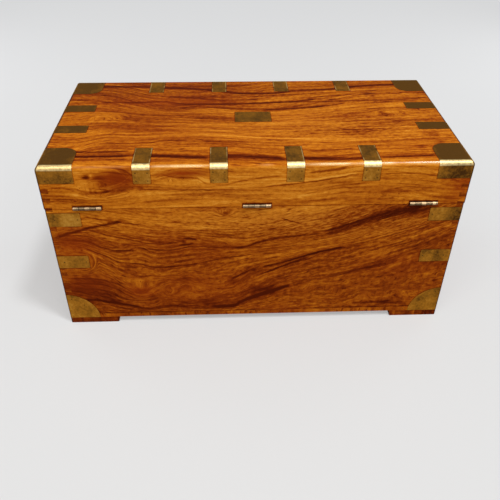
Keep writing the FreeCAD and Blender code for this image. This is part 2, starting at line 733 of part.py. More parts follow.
def stay(side):
    """A slotted lid stay hanging inside one end, its pivot on the lid and its stud in the end board."""
    sign = 1 if side == "right" else -1
    into, out = ("-x", "+x") if sign > 0 else ("+x", "-x")
    name = f"stay_{side}"
    pivot_z = "axis_z + stay_offset"
    flat = span(sign, "stay_inner", "stay_inner + stay_thickness")
    bar_x = flat[0]
    lowest = f"{pivot_z} - stay_open_chord"
    parts = [
        box(name + "_bar", flat, around("stay_y", "stay_width"), (lowest, pivot_z)),
        rod(name + "_head", "+x", "stay_width / 2", "stay_thickness", (bar_x, "stay_y", pivot_z)),
        rod(name + "_tail", "+x", "stay_width / 2", "stay_thickness", (bar_x, "stay_y", lowest)),
    ]
    slot_width = "2 * (stud_shank + slot_room)"
    slot_top = "axis_z - stay_offset + slot_room"
    slot = fuse(name + "_slot", [
        box(name + "_slot_block", span(sign, "stay_inner - margin", "stay_inner + margin"),
            around("stay_y", slot_width), (lowest, slot_top)),
        rod(name + "_slot_top", "+x", "stud_shank + slot_room", "3 * margin",
            (f"({bar_x}) - margin", "stay_y", slot_top)),
        rod(name + "_slot_end", "+x", "stud_shank + slot_room", "3 * margin",
            (f"({bar_x}) - margin", "stay_y", lowest)),
    ])
    hole = rod(name + "_hole", "+x", "stud_shank + pin_clearance", "3 * margin",
               (f"({bar_x}) - margin", "stay_y", pivot_z))
    node(f"{name}_bar", cut(f"{name}_bar", fuse(name + "_blank", parts), [slot, hole]))

    studs = []
    for kind, level in (("stud", "axis_z - stay_offset"), ("pivot", pivot_z)):
        wall = f"{sign} * inner_length"
        deep = f"{sign} * (inner_length + stud_depth)"
        top = f"{sign} * (stay_inner - stay_gap)"
        studs.append(fuse(f"{name}_{kind}", [
            rod(f"{name}_{kind}_spacer", into, "stud_head", "stay_spacer", (wall, "stay_y", level)),
            rod(f"{name}_{kind}_shank", into, "stud_shank",
                "stud_depth + stay_spacer + 2 * stay_gap + stay_thickness", (deep, "stay_y", level)),
            rod(f"{name}_{kind}_head", into, "stud_head", "stud_head_height", (top, "stay_y", level)),
        ]))
    return studs


def foot(corner, zone):
    """A bracket foot of two blocks: a long one under the front or back, and a short one behind it."""
    right, back = CORNERS[corner]
    name = f"foot_{corner}"
    high = ("0", "foot_height")
    long_spans = (span(right, "half_length - foot_length", "half_length"),
                  span(back, "half_depth - foot_thickness", "half_depth"), high)
    short_spans = (span(right, "half_length - foot_thickness", "half_length"),
                   span(back, "half_depth - foot_side_length", "half_depth - foot_thickness"), high)
    long_block = block_rounded(name + "_long_rounded", 1, long_spans, size("foot_round"), only_inner=True)
    short_block = block_rounded(name + "_short_rounded", 0, short_spans, size("foot_round"), only_inner=True)
    return group(name, [
        common(name + "_long", long_block, zone),
        common(name + "_short", short_block, zone),
    ])


def inlays(word, brass):
    """The brass pieces that have a word in their names."""
    return [whole for name, whole in brass if word in name]


def build():
    chest_sides = ("half_length", "half_depth", "0", "joint", None)
    chest_outside = envelope("chest_outside", *chest_sides, "0")
    chest_skin = cut("chest_skin", envelope("chest_proud", *chest_sides, "brass_proud"),
                     [envelope("chest_core", *chest_sides, "-brass")])
    above_feet = box("above_feet", ("-half_length - margin", "half_length + margin"),
                     ("-half_depth - margin", "half_depth + margin"), ("foot_height", "joint"))
    chest_skin = common("chest_skin_above_feet", chest_skin, above_feet)

    lid_sides = ("lid_half_length", "lid_half_depth", "lid_bottom")
    lid_outside = envelope("lid_outside", *lid_sides, "chest_height", "edge_round", "0")
    lid_proud = envelope("lid_proud", *lid_sides, "chest_height + brass_proud", "edge_round", "brass_proud")
    lid_core = envelope("lid_core", *lid_sides, "chest_height - brass", "edge_round", "-brass")
    lid_skin = cut("lid_skin", lid_proud, [lid_core])

    lid_brass, lid_pins = [], []
    for side, middles in (("back", ("-strap_far", "-strap_near", "strap_near", "strap_far")),
                          ("front", ("-strap_far", "-strap_near", "strap_near", "strap_far")),
                          ("left", ("-strap_end", "strap_end")),
                          ("right", ("-strap_end", "strap_end"))):
        made = [strap(side, number, middle, lid_skin) for number, middle in enumerate(middles, 1)]
        lid_pins += [pin for _, pins in made for pin in pins]
        lid_brass.append((f"{side}_straps", group(f"{side}_straps_whole", [band for band, _ in made])))
    for corner in CORNERS:
        shell, pins = bracket(corner, lid_skin)
        lid_pins += pins
        lid_brass.append((f"lid_corner_{corner}", shell))
    plate, pins = name_plate(lid_skin)
    lid_pins += pins
    lid_brass.append(("name_plate", plate))
    lid_pins = node("lid_pins", group("lid_pins", lid_pins))
    for name, whole in lid_brass:
        node(name, cut(name, whole, [lid_pins]))

    chest_brass, chest_pins = [], []
    upper_level = "wrap_top - wrap_height"
    middle_level = "wrap_middle - wrap_height / 2"
    for corner in CORNERS:
        for name, (whole, pins) in (
            (f"upper_corner_strap_{corner}", wrap("upper", corner, upper_level, chest_skin)),
            (f"middle_corner_strap_{corner}", wrap("middle", corner, middle_level, chest_skin)),
            (f"base_corner_{corner}", heel(corner, chest_skin)),
        ):
            chest_brass.append((name, whole))
            chest_pins += pins
    spans = (around("0", "escutcheon_length"), ("-half_depth - margin", "-half_depth + margin"),
             around("key_z", "escutcheon_height"))
    outline = block_rounded("escutcheon_outline", 1, spans, size("brass_corner"))
    escutcheon = common("escutcheon_whole", chest_skin, outline)
    for x in (-1, 1):
        for z in (-1, 1):
            chest_pins.append(pin_from("front", f"escutcheon_pin_{x + 1}_{z + 1}",
                                       f"{x} * (escutcheon_length / 2 - pin_edge)",
                                       f"-({chest_face('front')})",
                                       f"key_z + {z} * (escutcheon_height / 2 - pin_edge)",
                                       "board - lock_depth"))
    chest_pins = node("chest_pins", group("chest_pins", chest_pins))
    for name, whole in chest_brass:
        node(name, cut(name, whole, [chest_pins]))
    hole = keyhole("board_keyhole", ("-half_depth - margin", "lock_front"), "keyhole_room")
    node("escutcheon", cut("escutcheon", escutcheon, [chest_pins, hole]))

    butts = hinges()
    locking = lock()
    studs = {side: stay(side) for side in ("left", "right")}
    handle_screws = {side: handle(side) for side in ("left", "right")}
    node("hinge_pins", group("hinge_pins", butts["pins"]))
    node("lid_screws", group("lid_screws", butts["lid_screws"] + locking["screws"]))
    node("chest_screws", group("chest_screws", butts["chest_screws"] + locking["case_screws"]
                               + handle_screws["left"] + handle_screws["right"]))
    node("stay_studs", group("stay_studs", [pair[0] for pair in studs.values()]))
    node("stay_pivots", group("stay_pivots", [pair[1] for pair in studs.values()]))

    plan = (("-half_length", "half_length"), ("-half_depth", "half_depth"))
    wall_zone = common("wall_zone", chest_outside, box("wall_levels", *plan, ("floor_top", "joint")))
    boards = walls("chest", "chest_tails", "floor_top", "joint", "half_length", wall_zone)
    extra = {
        "back": [group("chest_hinge_recess", butts["chest_recess"]),
                 group("back_screws", butts["chest_screws"])],
        "front": [escutcheon, locking["case"], hole, group("case_screws", locking["case_screws"])],
        "left": [group("left_handle_screws", handle_screws["left"]), studs["left"][0]],
        "right": [group("right_handle_screws", handle_screws["right"]), studs["right"][0]],
    }
    for side, board in boards.items():
        name = f"{side}_board" if side in ("back", "front") else f"{side}_end_board"
        node(name, cut(name, board, [*inlays(side, chest_brass), chest_pins, *extra[side]]))
    bottom = common("bottom_trimmed", chest_outside, box("bottom_blank", *plan, ("foot_height", "floor_top")))
    node("bottom_board", cut("bottom_board", bottom, [*inlays("base", chest_brass), chest_pins]))
    for corner in CORNERS:
        node(f"foot_{corner}", foot(corner, chest_outside))

    plan = (("-lid_half_length", "lid_half_length"), ("-lid_half_depth", "lid_half_depth"))
    rail_zone = common("rail_zone", lid_outside, box("rail_levels", *plan, ("lid_bottom", "under_top")))
    rails = walls("lid", "lid_tails", "lid_bottom", "under_top", "lid_half_length", rail_zone)
    extra = {
        "back": [*butts["lid_recess"], group("rail_screws", butts["lid_screws"])],
        "front": [locking["link"], group("link_screws", locking["screws"])],
        "left": [studs["left"][1]],
        "right": [studs["right"][1]],
    }
    for side, rail in rails.items():
        name = f"lid_{side}_rail"
        node(name, cut(name, rail, [*inlays(side, lid_brass), lid_pins, *extra[side]]))
    top = common("top_trimmed", lid_outside, box("top_blank", *plan, ("under_top", "chest_height")))
    node("lid_top_board", cut("lid_top_board", top, [*inlays("", lid_brass), lid_pins]))


def check_and_write():
    """Refuse a failed object or an invalid sub-part, then write each sub-part to its own file."""
    doc.recompute()
    failed = [thing.Name for thing in doc.Objects if {"Invalid", "Error"} & set(thing.State)]
    if failed:
        raise SystemExit(f"these objects failed: {failed}")
    for name, thing in nodes.items():
        if thing.Shape.isNull() or not thing.Shape.isValid():
            raise SystemExit(f"{name} has no valid shape")
        if not thing.Shape.Solids:
            raise SystemExit(f"{name} has no solid")
    os.makedirs("parts", exist_ok=True)
    for name, thing in nodes.items():
        thing.Shape.exportStep(f"parts/{name}.step")
    print(f"{len(nodes)} sub-parts, {sum(len(thing.Shape.Solids) for thing in nodes.values())} solids")


fill_sheet()
build()
check_and_write()
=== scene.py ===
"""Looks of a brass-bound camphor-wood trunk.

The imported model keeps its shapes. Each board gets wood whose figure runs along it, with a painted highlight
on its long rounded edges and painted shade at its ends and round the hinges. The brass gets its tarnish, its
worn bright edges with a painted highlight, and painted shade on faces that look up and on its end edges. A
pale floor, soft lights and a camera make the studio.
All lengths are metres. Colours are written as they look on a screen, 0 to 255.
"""

import math

import bpy
from mathutils import Matrix, Vector

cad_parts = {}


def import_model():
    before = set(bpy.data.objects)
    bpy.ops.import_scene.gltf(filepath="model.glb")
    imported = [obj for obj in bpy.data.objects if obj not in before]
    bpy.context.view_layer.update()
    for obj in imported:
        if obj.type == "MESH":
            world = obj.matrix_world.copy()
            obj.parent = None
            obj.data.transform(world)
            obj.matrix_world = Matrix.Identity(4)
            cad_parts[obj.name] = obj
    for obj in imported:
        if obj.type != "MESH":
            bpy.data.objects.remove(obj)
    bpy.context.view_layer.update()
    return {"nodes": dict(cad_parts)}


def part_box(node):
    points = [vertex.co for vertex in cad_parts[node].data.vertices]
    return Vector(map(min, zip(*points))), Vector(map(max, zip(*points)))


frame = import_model()
nodes = frame["nodes"]


# ---- sizes, read from the frame

HALF_LENGTH, HALF_DEPTH, LID_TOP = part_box("lid_top_board")[1]
LID_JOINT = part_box("lid_back_rail")[0].z


# ---- fields: numbers over a surface


class Field:
    """A number that varies over a surface: one output of a material's node tree."""

    def __init__(self, socket):
        self.socket = socket
        self.tree = socket.id_data

    def __add__(self, other):
        return maths("ADD", self, other)

    def __sub__(self, other):
        return maths("SUBTRACT", self, other)

    def __rsub__(self, other):
        return maths("SUBTRACT", other, self)

    def __mul__(self, other):
        return maths("MULTIPLY", self, other)

    def __truediv__(self, other):
        return maths("DIVIDE", self, other)

    def __abs__(self):
        return maths("ABSOLUTE", self)

    __radd__ = __add__
    __rmul__ = __mul__


def add_node(tree, kind, inputs=None, **settings):
    """A shader node with its settings, and with its inputs linked or set."""
    made = tree.nodes.new("ShaderNode" + kind)
    for name, value in settings.items():
        setattr(made, name, value)
    for name, value in (inputs or {}).items():
        feed(made.inputs[name], value)
    return made


def feed(socket, value):
    """Links a field to a socket, or sets the socket to a plain value."""
    if isinstance(value, Field):
        value.tree.links.new(value.socket, socket)
    else:
        socket.default_value = value


def maths(operation, *values):
    """One arithmetic step on fields and numbers."""
    tree = next(v.tree for v in values if isinstance(v, Field))
    step = add_node(tree, "Math", operation=operation)
    for socket, value in zip(step.inputs, values):
        feed(socket, value)
    return Field(step.outputs[0])


def largest(first, *others):
    """The largest of some fields and numbers, place by place."""
    for other in others:
        first = maths("MAXIMUM", first, other)
    return first


def ease(value, start, end, low=0.0, high=1.0):
    """A smooth step of value, from low at start to high at end, and level outside them."""
    inputs = {"Value": value, "From Min": start, "From Max": end, "To Min": low, "To Max": high}
    step = add_node(value.tree, "MapRange", inputs, interpolation_type="SMOOTHSTEP")
    return Field(step.outputs["Result"])


def point(x, y, z):
    """A vector made of three fields or numbers."""
    tree = next(v.tree for v in (x, y, z) if isinstance(v, Field))
    return Field(add_node(tree, "CombineXYZ", {"X": x, "Y": y, "Z": z}).outputs[0])


def cloud(x, y, z, detail=2.0, roughness=0.5):
    """Noise about zero, from about -0.5 to 0.5, one unit to a wave."""
    inputs = {"Vector": point(x, y, z), "Scale": 1.0, "Detail": detail, "Roughness": roughness}
    made = add_node(z.tree if isinstance(z, Field) else x.tree, "TexNoise", inputs)
    return Field(made.outputs[0]) - 0.5


def trace(value, points, reach, low, high):
    """A smooth curve through points, read at value. Its points lie within reach of zero along value,
    and from low to high."""
    made = add_node(value.tree, "FloatCurve", {"Value": ease_linear(value, -reach, reach)})
    curve = made.mapping.curves[0]
    placed = sorted(((x + reach) / (2 * reach), (y - low) / (high - low)) for x, y in points)
    for stop, (x, y) in zip(curve.points, (placed[0], placed[-1])):
        stop.location = (x, y)
    for x, y in placed[1:-1]:
        curve.points.new(x, y)
    made.mapping.extend = "HORIZONTAL"
    made.mapping.update()
    return Field(made.outputs[0]) * (high - low) + low


def ease_linear(value, start, end):
    """value, from 0 at start to 1 at end."""
    made = add_node(value.tree, "MapRange", {"Value": value, "From Min": start, "From Max": end})
    return Field(made.outputs["Result"])


def srgb(red, green, blue):
    """A screen colour as the linear one that shaders use."""
    parts = [c / 255 for c in (red, green, blue)]
    return (*[p / 12.92 if p <= 0.04045 else ((p + 0.055) / 1.055) ** 2.4 for p in parts], 1.0)


def ramp(value, stops):
    """The colour at value along a row of (place, colour) stops."""
    made = add_node(value.tree, "ValToRGB", {"Fac": value})
    elements = made.color_ramp.elements
    while len(elements) < len(stops):
        elements.new(0.5)
    for element, (place, colour) in zip(elements, stops):
        element.position = place
        element.color = srgb(*colour)
    return Field(made.outputs["Color"])


# The Mix node's sockets for colours share their names with others, so they are picked by number.
MIX_AMOUNT, MIX_BELOW, MIX_ABOVE, MIX_RESULT = 0, 6, 7, 2


def tint(amount, below, above):
    """below with above laid over it by amount."""
    made = add_node(amount.tree, "Mix", {MIX_AMOUNT: amount}, data_type="RGBA")
    for index, colour in ((MIX_BELOW, below), (MIX_ABOVE, above)):
        feed(made.inputs[index], colour if isinstance(colour, Field) else srgb(*colour))
    return Field(made.outputs[MIX_RESULT])


# ---- materials: what they share


def empty_tree(owner):
    """The emptied node tree of a new material or world."""
    owner.use_nodes = True
    owner.node_tree.nodes.clear()
    return owner.node_tree


def new_material(name):
    """A new material, its surface shader, and the object's coordinates and normal, split by axis."""
    material = bpy.data.materials.new(name)
    tree = empty_tree(material)
    output = add_node(tree, "OutputMaterial")
    surface = add_node(tree, "BsdfPrincipled")
    tree.links.new(surface.outputs[0], output.inputs["Surface"])
    coordinates = add_node(tree, "TexCoord")
    place = split(Field(coordinates.outputs["Object"]))
    normal = split(Field(coordinates.outputs["Normal"]))
    return material, surface, place, normal


def split(vector):
    """The three parts of a vector field."""
    made = add_node(vector.tree, "SeparateXYZ", {"Vector": vector})
    return [Field(socket) for socket in made.outputs]


def emboss(surface, height, depth, strength):
    """Turns a height field, whose unit is depth, into bumps."""
    made = add_node(height.tree, "Bump", {"Height": height, "Distance": depth, "Strength": strength})
    feed(surface.inputs["Normal"], Field(made.outputs[0]))


def paint(material, *names):
    """Gives CAD nodes a material in every slot."""
    for name in names:
        shown = nodes[name]
        for slot in shown.material_slots:
            slot.link = "OBJECT"
            slot.material = material


# ---- wood

WOOD_STOPS = [
    (0.00, (66, 18, 3)),
    (0.16, (88, 28, 4)),
    (0.32, (112, 44, 6)),
    (0.46, (138, 62, 9)),
    (0.58, (160, 83, 13)),
    (0.70, (180, 101, 17)),
    (0.84, (200, 122, 28)),
    (1.00, (216, 146, 50)),
]

# Colours laid over the wood's own
REDDISH = (146, 54, 10)
GOLDEN = (184, 116, 38)
END_GRAIN = (84, 40, 14)
# painted shade on the rounded edges at the chest's ends
END_EDGE_SHADE = (56, 26, 10)
# a worn, lighter wood that is also a painted highlight on the long rounded edges
POLISHED_HIGHLIGHT = (246, 204, 118)

# How far each thing shifts the wood's tone, which is a place along WOOD_STOPS
BROAD_TONE = 0.50
MEDIUM_TONE = 0.36
FIBRE_TONE = 0.50
HAIRLINE_TONE = 0.17
PORE_TONE = 0.26
SEAM_TONE = 0.25
# dirt round the brass, and painted shade round the hinges and at the ends
DIRT_AND_SHADE_TONE = 0.40

SEAM_WIDTH = 0.0018
INLAY_DEPTH = (-0.012, -0.010)  # the dirt and painted shade round the brass fade out between these heights over the outer face
STROKE_FADE = 0.02  # a stroke fades over this length at its ends
STROKE_SPREAD = 1.35  # its soft sides end this many drawn widths from its middle
STROKE_DEPTH = 1.45  # its middle is this many drawn depths darker
LEVEL_RANGE = 0.001  # keeps the range of a level line's heights above 0

# The wood's noises: waves a metre along, across and through the board, a number that sets each apart from
# the others, its detail, and its roughness where it isn't the usual one. fine is given the figure's line
# length along, and ring lies across and through the board.
WOOD_NOISES = {
    "drift": (7, 16, 6, 0, 2),
    "shiver": (60, 110, 20, 3, 2),
    "flame": (1.9, 5.5, 2, 7, 1),
    "curl": (15, 20, 0, 11, 1),
    "broad": (1.4, 17, 0, 20, 1),
    "medium": (4, 70, 0, 30, 1),
    "fine": (1, 180, 0, 40, 2),
    "hairline": (6, 95, 0, 44, 1),
    "short": (75, 210, 0, 45, 1),
    "hairline_gap": (13, 50, 0, 47, 1),
    "fibre": (40, 520, 300, 50, 3, 0.7),
    "mottle": (60, 90, 0, 60, 3, 0.65),
    "patch": (22, 22, 0, 70, 1),
    "ripple": (85, 30, 0, 75, 1),
    "pore": (150, 900, 0, 80, 1),
    "crowd": (8, 24, 0, 84, 1),
    "dash": (60, 360, 0, 88, 1),
    "ring": (90, 260, 0, 90, 3),
    "red": (3, 9, 0, 100, 2),
    "rub_highlight": (9, 9, 0, 110, 2),
}


def growth(along, across, lines, low, high):
    """The across-grain coordinate that follows drawn growth lines: its value on each line is given."""
    heights = [(value, trace(along, points, HALF_LENGTH, low, high)) for value, points in lines]
    total = across * 0 + heights[0][0]
    for (value, line), (next_value, next_line) in zip(heights, heights[1:]):
        share = maths("DIVIDE", across - line, next_line - line)
        share.socket.node.use_clamp = True
        total = total + share * (next_value - value)
    return total


def hump(along, across, place, size):
    """A round rise from 0 to 1: its middle is at place, and it fades at about twice its size."""
    x = (along - place[0]) / size[0]
    y = (across - place[1]) / size[1]
    return maths("EXPONENT", (x * x + y * y) * -1.0)


def stroke(along, across, points, width):
    """A drawn line with soft sides and fading ends."""
    low = min(y for x, y in points)
    high = max(y for x, y in points) + LEVEL_RANGE
    start = min(x for x, y in points)
    end = max(x for x, y in points)
    away = abs(across - trace(along, points, HALF_LENGTH, low, high))
    ends = abs(along - (start + end) / 2)
    half = (end - start) / 2
    return ease(away, width, 0.0) * ease(ends, half, half - min(STROKE_FADE, half))


def hairpin(along, across, start):
    """The distance to a level line from start to the board's far end, round which growth lines turn back."""
    dx = largest(start[0] - along, 0.0)
    dy = across - start[1]
    return maths("SQRT", dx * dx + dy * dy)


def rim(distance, width):
    """A thin line where distance is near 0."""
    return ease(abs(distance), width, 0.0)


def outside(value, low, high):
    """How far value lies outside a stretch, below 0 inside it."""
    return largest(low - value, value - high)


class Board:
    """One board: its coordinates, the figure on it, and the noises that several parts of its look share.
    hand_along and hand_across are its coordinates with a small wobble, for what is drawn."""

    def __init__(self, place, normal, grain, figure, seed):
        self.axes = dict(zip("xyz", place))
        self.facing = dict(zip("xyz", normal))
        self.along, self.across, self.through = (self.axes[name] for name in grain)
        if figure["rolled"]:
            self.across = maths("SIGN", self.across) * (abs(self.across) + (LID_TOP - self.through))
        self.figure = figure
        self.seed = seed
        self.drift = self.noise("drift")
        self.shiver = self.noise("shiver")
        self.hand_along = self.along + self.drift * 0.012
        self.hand_across = self.across + self.shiver * 0.0035 + self.drift * 0.004
        self.grown = grown_across(self)
        self.lines = self.grown * figure["fineness"]
        self.fine = self.noise("fine", self.along / figure["line_length"], self.lines)
        self.fibre = self.noise("fibre", across=self.grown)
        self.mottle = self.noise("mottle")

    def noise(self, name, along=None, across=None):
        """One of the wood's noises, over the board's own coordinates where no others are given."""
        waves_along, waves_across, waves_through, number, *detail = WOOD_NOISES[name]
        x = (along or self.along) * waves_along
        y = (across or self.across) * waves_across
        z = self.seed + number
        if waves_through:
            z = z + self.through * waves_through
        return cloud(x, y, z, *detail)

    def spot(self, place, size):
        """A round spot in the wood."""
        return hump(self.along, self.across, place, size)

    def drawn_spot(self, place, size):
        """A round spot, drawn on the coordinates with a small wobble."""
        return hump(self.hand_along, self.hand_across, place, size)


def grown_across(board):
    """The across-grain coordinate that follows the board's growth lines, knots, curls and hairpins."""
    figure = board.figure
    if figure["lines"]:
        grown = growth(board.along, board.across, figure["lines"], *figure["range"])
    else:
        grown = board.across + board.noise("flame") * figure["flame"]
    for place, size, height in figure["knots"]:
        grown = grown + board.spot(place, size) * height
    for place, size, height in figure["curls"]:
        grown = grown + board.spot(place, size) * board.noise("curl") * height
    for start, inner, outer, value in figure["hairpins"]:
        away = hairpin(board.along, board.across, start)
        grown = grown + ease(away, outer, inner) * (value - away - grown)
    return grown + board.drift * figure["drift"] + board.shiver * 0.0022


def grain_tone(board):
    """The light and dark of the grain, about 0."""
    figure = board.figure
    short = board.noise("short", across=board.lines)
    tone = MEDIUM_TONE * board.noise("medium", across=board.lines)
    tone = tone + figure["fine"] * board.fine + figure["short"] * short
    tone = tone + FIBRE_TONE * board.fibre + figure["mottle"] * board.mottle
    hairline = ease(abs(board.noise("hairline", across=board.lines)), 0.030, 0.0)
    hairline = hairline * ease(board.noise("hairline_gap", across=board.grown), -0.10, 0.12)
    tone = tone - hairline * HAIRLINE_TONE
    for place, size, amount in figure["calms"]:
        tone = tone * (1.0 - board.spot(place, size) * amount)
    for place, size, amount in figure["grainy"]:
        tone = tone + board.spot(place, size) * short * amount
    return (tone + BROAD_TONE * board.noise("broad", across=board.grown)) * figure["contrast"]


def ground_tone(board):
    """The tone of each growth line. Where two are given, it turns from one to the other along the board."""
    figure = board.figure
    right_tone = trace(board.grown, figure["right_tone"], 0.5, 0.0, 1.0)
    if not figure["left_tone"]:
        return right_tone
    left_tone = trace(board.grown, figure["left_tone"], 0.5, 0.0, 1.0)
    return right_tone + ease(board.along, -0.10, 0.12) * (left_tone - right_tone)


def drawn_tone(board):
    """How much the strokes, spots and ripples drawn on the board lighten it."""
    figure = board.figure
    tone = board.along * 0.0
    patchy = 0.9 + 0.6 * board.noise("patch")
    for depth, width, points in figure["strokes"]:
        line = stroke(board.hand_along, board.hand_across, points, width * STROKE_SPREAD)
        tone = tone - line * patchy * (depth * STROKE_DEPTH)
    for place, size, depth in figure["spots"]:
        tone = tone - board.drawn_spot(place, size) * depth
    for place, size, depth in figure["ripples"]:
        tone = tone + board.spot(place, size) * board.noise("ripple") * depth
    return tone


def open_pores(board):
    """Single pores, and longer dashes that come in crowds."""
    crowd = ease(board.noise("crowd"), -0.16, 0.16)
    dash = ease(board.noise("dash", across=board.grown), 0.11, 0.22) * crowd
    return largest(ease(board.noise("pore", across=board.grown), 0.11, 0.22), dash)


def dirt_and_shade_tone(board, inlays):
    """How much the joint under the lid, the dirt round the brass, and the painted shade at the ends and round
    the hinges darken the wood.
    """
    axes = board.axes
    seam = rim(axes["z"] - LID_JOINT, SEAM_WIDTH) * SEAM_TONE
    if not inlays:
        return seam
    sunk = largest(abs(axes["y"]) - HALF_DEPTH, abs(axes["x"]) - HALF_LENGTH, axes["z"] - LID_TOP)
    return largest(seam, inlays(axes) * ease(sunk, *INLAY_DEPTH) * DIRT_AND_SHADE_TONE)


def wood_colour(board, tone, cut):
    """The colour at tone, with the board's red and golden places, and darker where cut shows end grain."""
    red = ease(board.noise("red"), -0.05, 0.25) * 0.16
    for place, size, amount in board.figure["reds"]:
        red = largest(red, board.drawn_spot(place, size) * amount)
    colour = tint(red, ramp(tone, WOOD_STOPS), REDDISH)
    light_wood = ease(tone, 0.44, 0.64)
    for place, size, amount in board.figure["golds"]:
        colour = tint(board.drawn_spot(place, size) * light_wood * amount, colour, GOLDEN)
    return tint(cut * 0.12, colour, END_GRAIN)


def rubbed_edge_highlight(board):
    """Where the long rounded edges are worn lighter and carry a painted highlight."""
    worn = ease(abs(board.facing["y"] * board.facing["z"]), 0.30, 0.50)
    rub_and_highlight = ease(board.noise("rub_highlight", across=board.through), -0.12, 0.10)
    for start, end, kept in board.figure["dull"]:
        rub_and_highlight = rub_and_highlight * ease(outside(board.along, start, end), 0.0, 0.02, kept, 1.0)
    return worn * rub_and_highlight


def painted_end_edge_shade(board):
    """Where the rounded edges at the ends are darkened by painted shade."""
    facing = board.facing
    return ease(abs(facing["x"] * facing["z"]) + abs(facing["x"] * facing["y"]), 0.08, 0.34)


def wood(name, grain, figure, inlays, seed):
    """Oiled camphor wood. grain names the axes along, across and through the board. figure holds its
    drawn lines, knots, strokes and tones, and inlays gives the dirt round the brass and the painted shade at
    the ends and round the hinges, or is None."""
    material, surface, place, normal = new_material(name)
    board = Board(place, normal, grain, figure, seed)
    pores = open_pores(board)
    tone = grain_tone(board) + ground_tone(board) + drawn_tone(board) - pores * PORE_TONE
    cut = ease(abs(board.facing[grain[0]]), 0.55, 0.85)
    rings = board.noise("ring", board.across, board.through)
    tone = tone + cut * (rings * 0.4 - tone * 0.22 + 0.04)
    # dirt round the brass, and painted shade at the ends and round the hinges
    tone = tone - dirt_and_shade_tone(board, inlays)

    polish_and_highlight = rubbed_edge_highlight(board)
    colour = wood_colour(board, tone, cut)
    # painted shade on the rounded edges at the ends
    colour = tint(painted_end_edge_shade(board) * 0.75, colour, END_EDGE_SHADE)
    # the long rounded edges get worn lighter wood and a painted highlight
    colour = tint(polish_and_highlight * 0.50, colour, POLISHED_HIGHLIGHT)
    feed(surface.inputs["Base Color"], colour)
    feed(surface.inputs["Roughness"], 0.42 + 0.25 * board.mottle + pores * 0.15)
    feed(surface.inputs["Coat Weight"], 0.01 + 0.90 * polish_and_highlight)
    surface.inputs["Coat Roughness"].default_value = 0.20
    surface.inputs["Coat IOR"].default_value = 1.7
    surface.inputs["IOR"].default_value = 1.03
    emboss(surface, board.fine * 0.5 + board.fibre * 0.6 - pores * 0.8, 0.0004, 0.35)
    return material


# What a board's figure holds. A place or point is (along, across) on the board, and a size likewise.
# lines: growth lines, (height, points), from one side of the board to the other
# left_tone, right_tone: (height, tone) along them
# knots, curls: (place, size, rise)
# hairpins: (start, inner, outer, height)
# strokes: (darkening, width, points)
# spots, ripples, calms, reds, golds, grainy: (place, size, amount)
# dull: (from, to, share of the wear and painted highlight that stays) along the board
# On the lid, across is measured over the rounded edge: down the back it goes on growing.
USUAL_FIGURE = {
    **dict.fromkeys(["lines", "left_tone", "knots", "curls", "hairpins", "strokes", "spots"], ()),
    **dict.fromkeys(["ripples", "calms", "reds", "golds", "grainy", "dull"], ()),
    "contrast": 1.10,
    "drift": 0.012,
    "fineness": 1.0,
    "line_length": 0.09,
    "fine": 0.70,
    "short": 0.42,
    "mottle": 0.34,
    "rolled": False,
}


def over_edge(x, z):
    """A point of the lid's back rail, given by its height, as a point measured over the edge."""
    return x, HALF_DEPTH + LID_TOP - z


def rolled(points):
    """A line on the lid's back rail, with its points measured over the edge."""
    return [over_edge(x, z) for x, z in points]


LID_STREAK = [
    (0.48, 0.200), (0.408, 0.199), (0.343, 0.197), (0.275, 0.199), (0.23, 0.204), (0.103, 0.208),
    (0.038, 0.213), (-0.064, 0.223), (-0.106, 0.220), (-0.165, 0.225), (-0.229, 0.216), (-0.48, 0.210),
]
LID_UPPER = [
    (0.48, 0.165), (0.413, 0.167), (0.353, 0.135), (0.282, 0.136), (0.227, 0.130), (0.104, 0.126),
    (-0.01, 0.144), (-0.1, 0.150), (-0.3, 0.150), (-0.48, 0.140),
]
LID_FAR = [
    (0.48, -0.165), (0.383, -0.150), (0.332, -0.120), (0.286, -0.090), (0.204, -0.068), (0.125, -0.078),
    (0.031, -0.062), (-0.047, -0.058), (-0.129, -0.072), (-0.197, -0.095), (-0.25, -0.116),
    (-0.303, -0.136), (-0.48, -0.150),
]
LID_FARTHEST = [
    (0.48, -0.190), (0.383, -0.185), (0.332, -0.165), (0.286, -0.140), (0.204, -0.120), (0.125, -0.125),
    (-0.022, -0.140), (-0.038, -0.152), (-0.139, -0.161), (-0.233, -0.169), (-0.48, -0.185),
]
RAIL_HIGH = rolled([
    (0.48, 0.450), (0.37, 0.458), (0.27, 0.444), (0.213, 0.447), (0.16, 0.455), (0.1, 0.447), (0.0, 0.440),
    (-0.107, 0.438), (-0.165, 0.445), (-0.231, 0.458), (-0.35, 0.460), (-0.48, 0.455),
])
RAIL_SWEEP = rolled([
    (0.48, 0.400), (0.403, 0.400), (0.366, 0.388), (0.317, 0.398), (0.275, 0.412), (0.18, 0.408),
    (0.104, 0.410), (0.039, 0.412), (-0.067, 0.415), (-0.109, 0.410), (-0.174, 0.418), (-0.236, 0.425),
    (-0.304, 0.427), (-0.41, 0.420), (-0.48, 0.410),
])
RAIL_LOW = rolled([
    (0.48, 0.375), (0.33, 0.372), (0.2, 0.385), (0.039, 0.388), (-0.1, 0.386), (-0.203, 0.400),
    (-0.308, 0.399), (-0.466, 0.384), (-0.48, 0.383),
])


def level(across):
    """A straight growth line."""
    return [(-0.48, across), (0.48, across)]


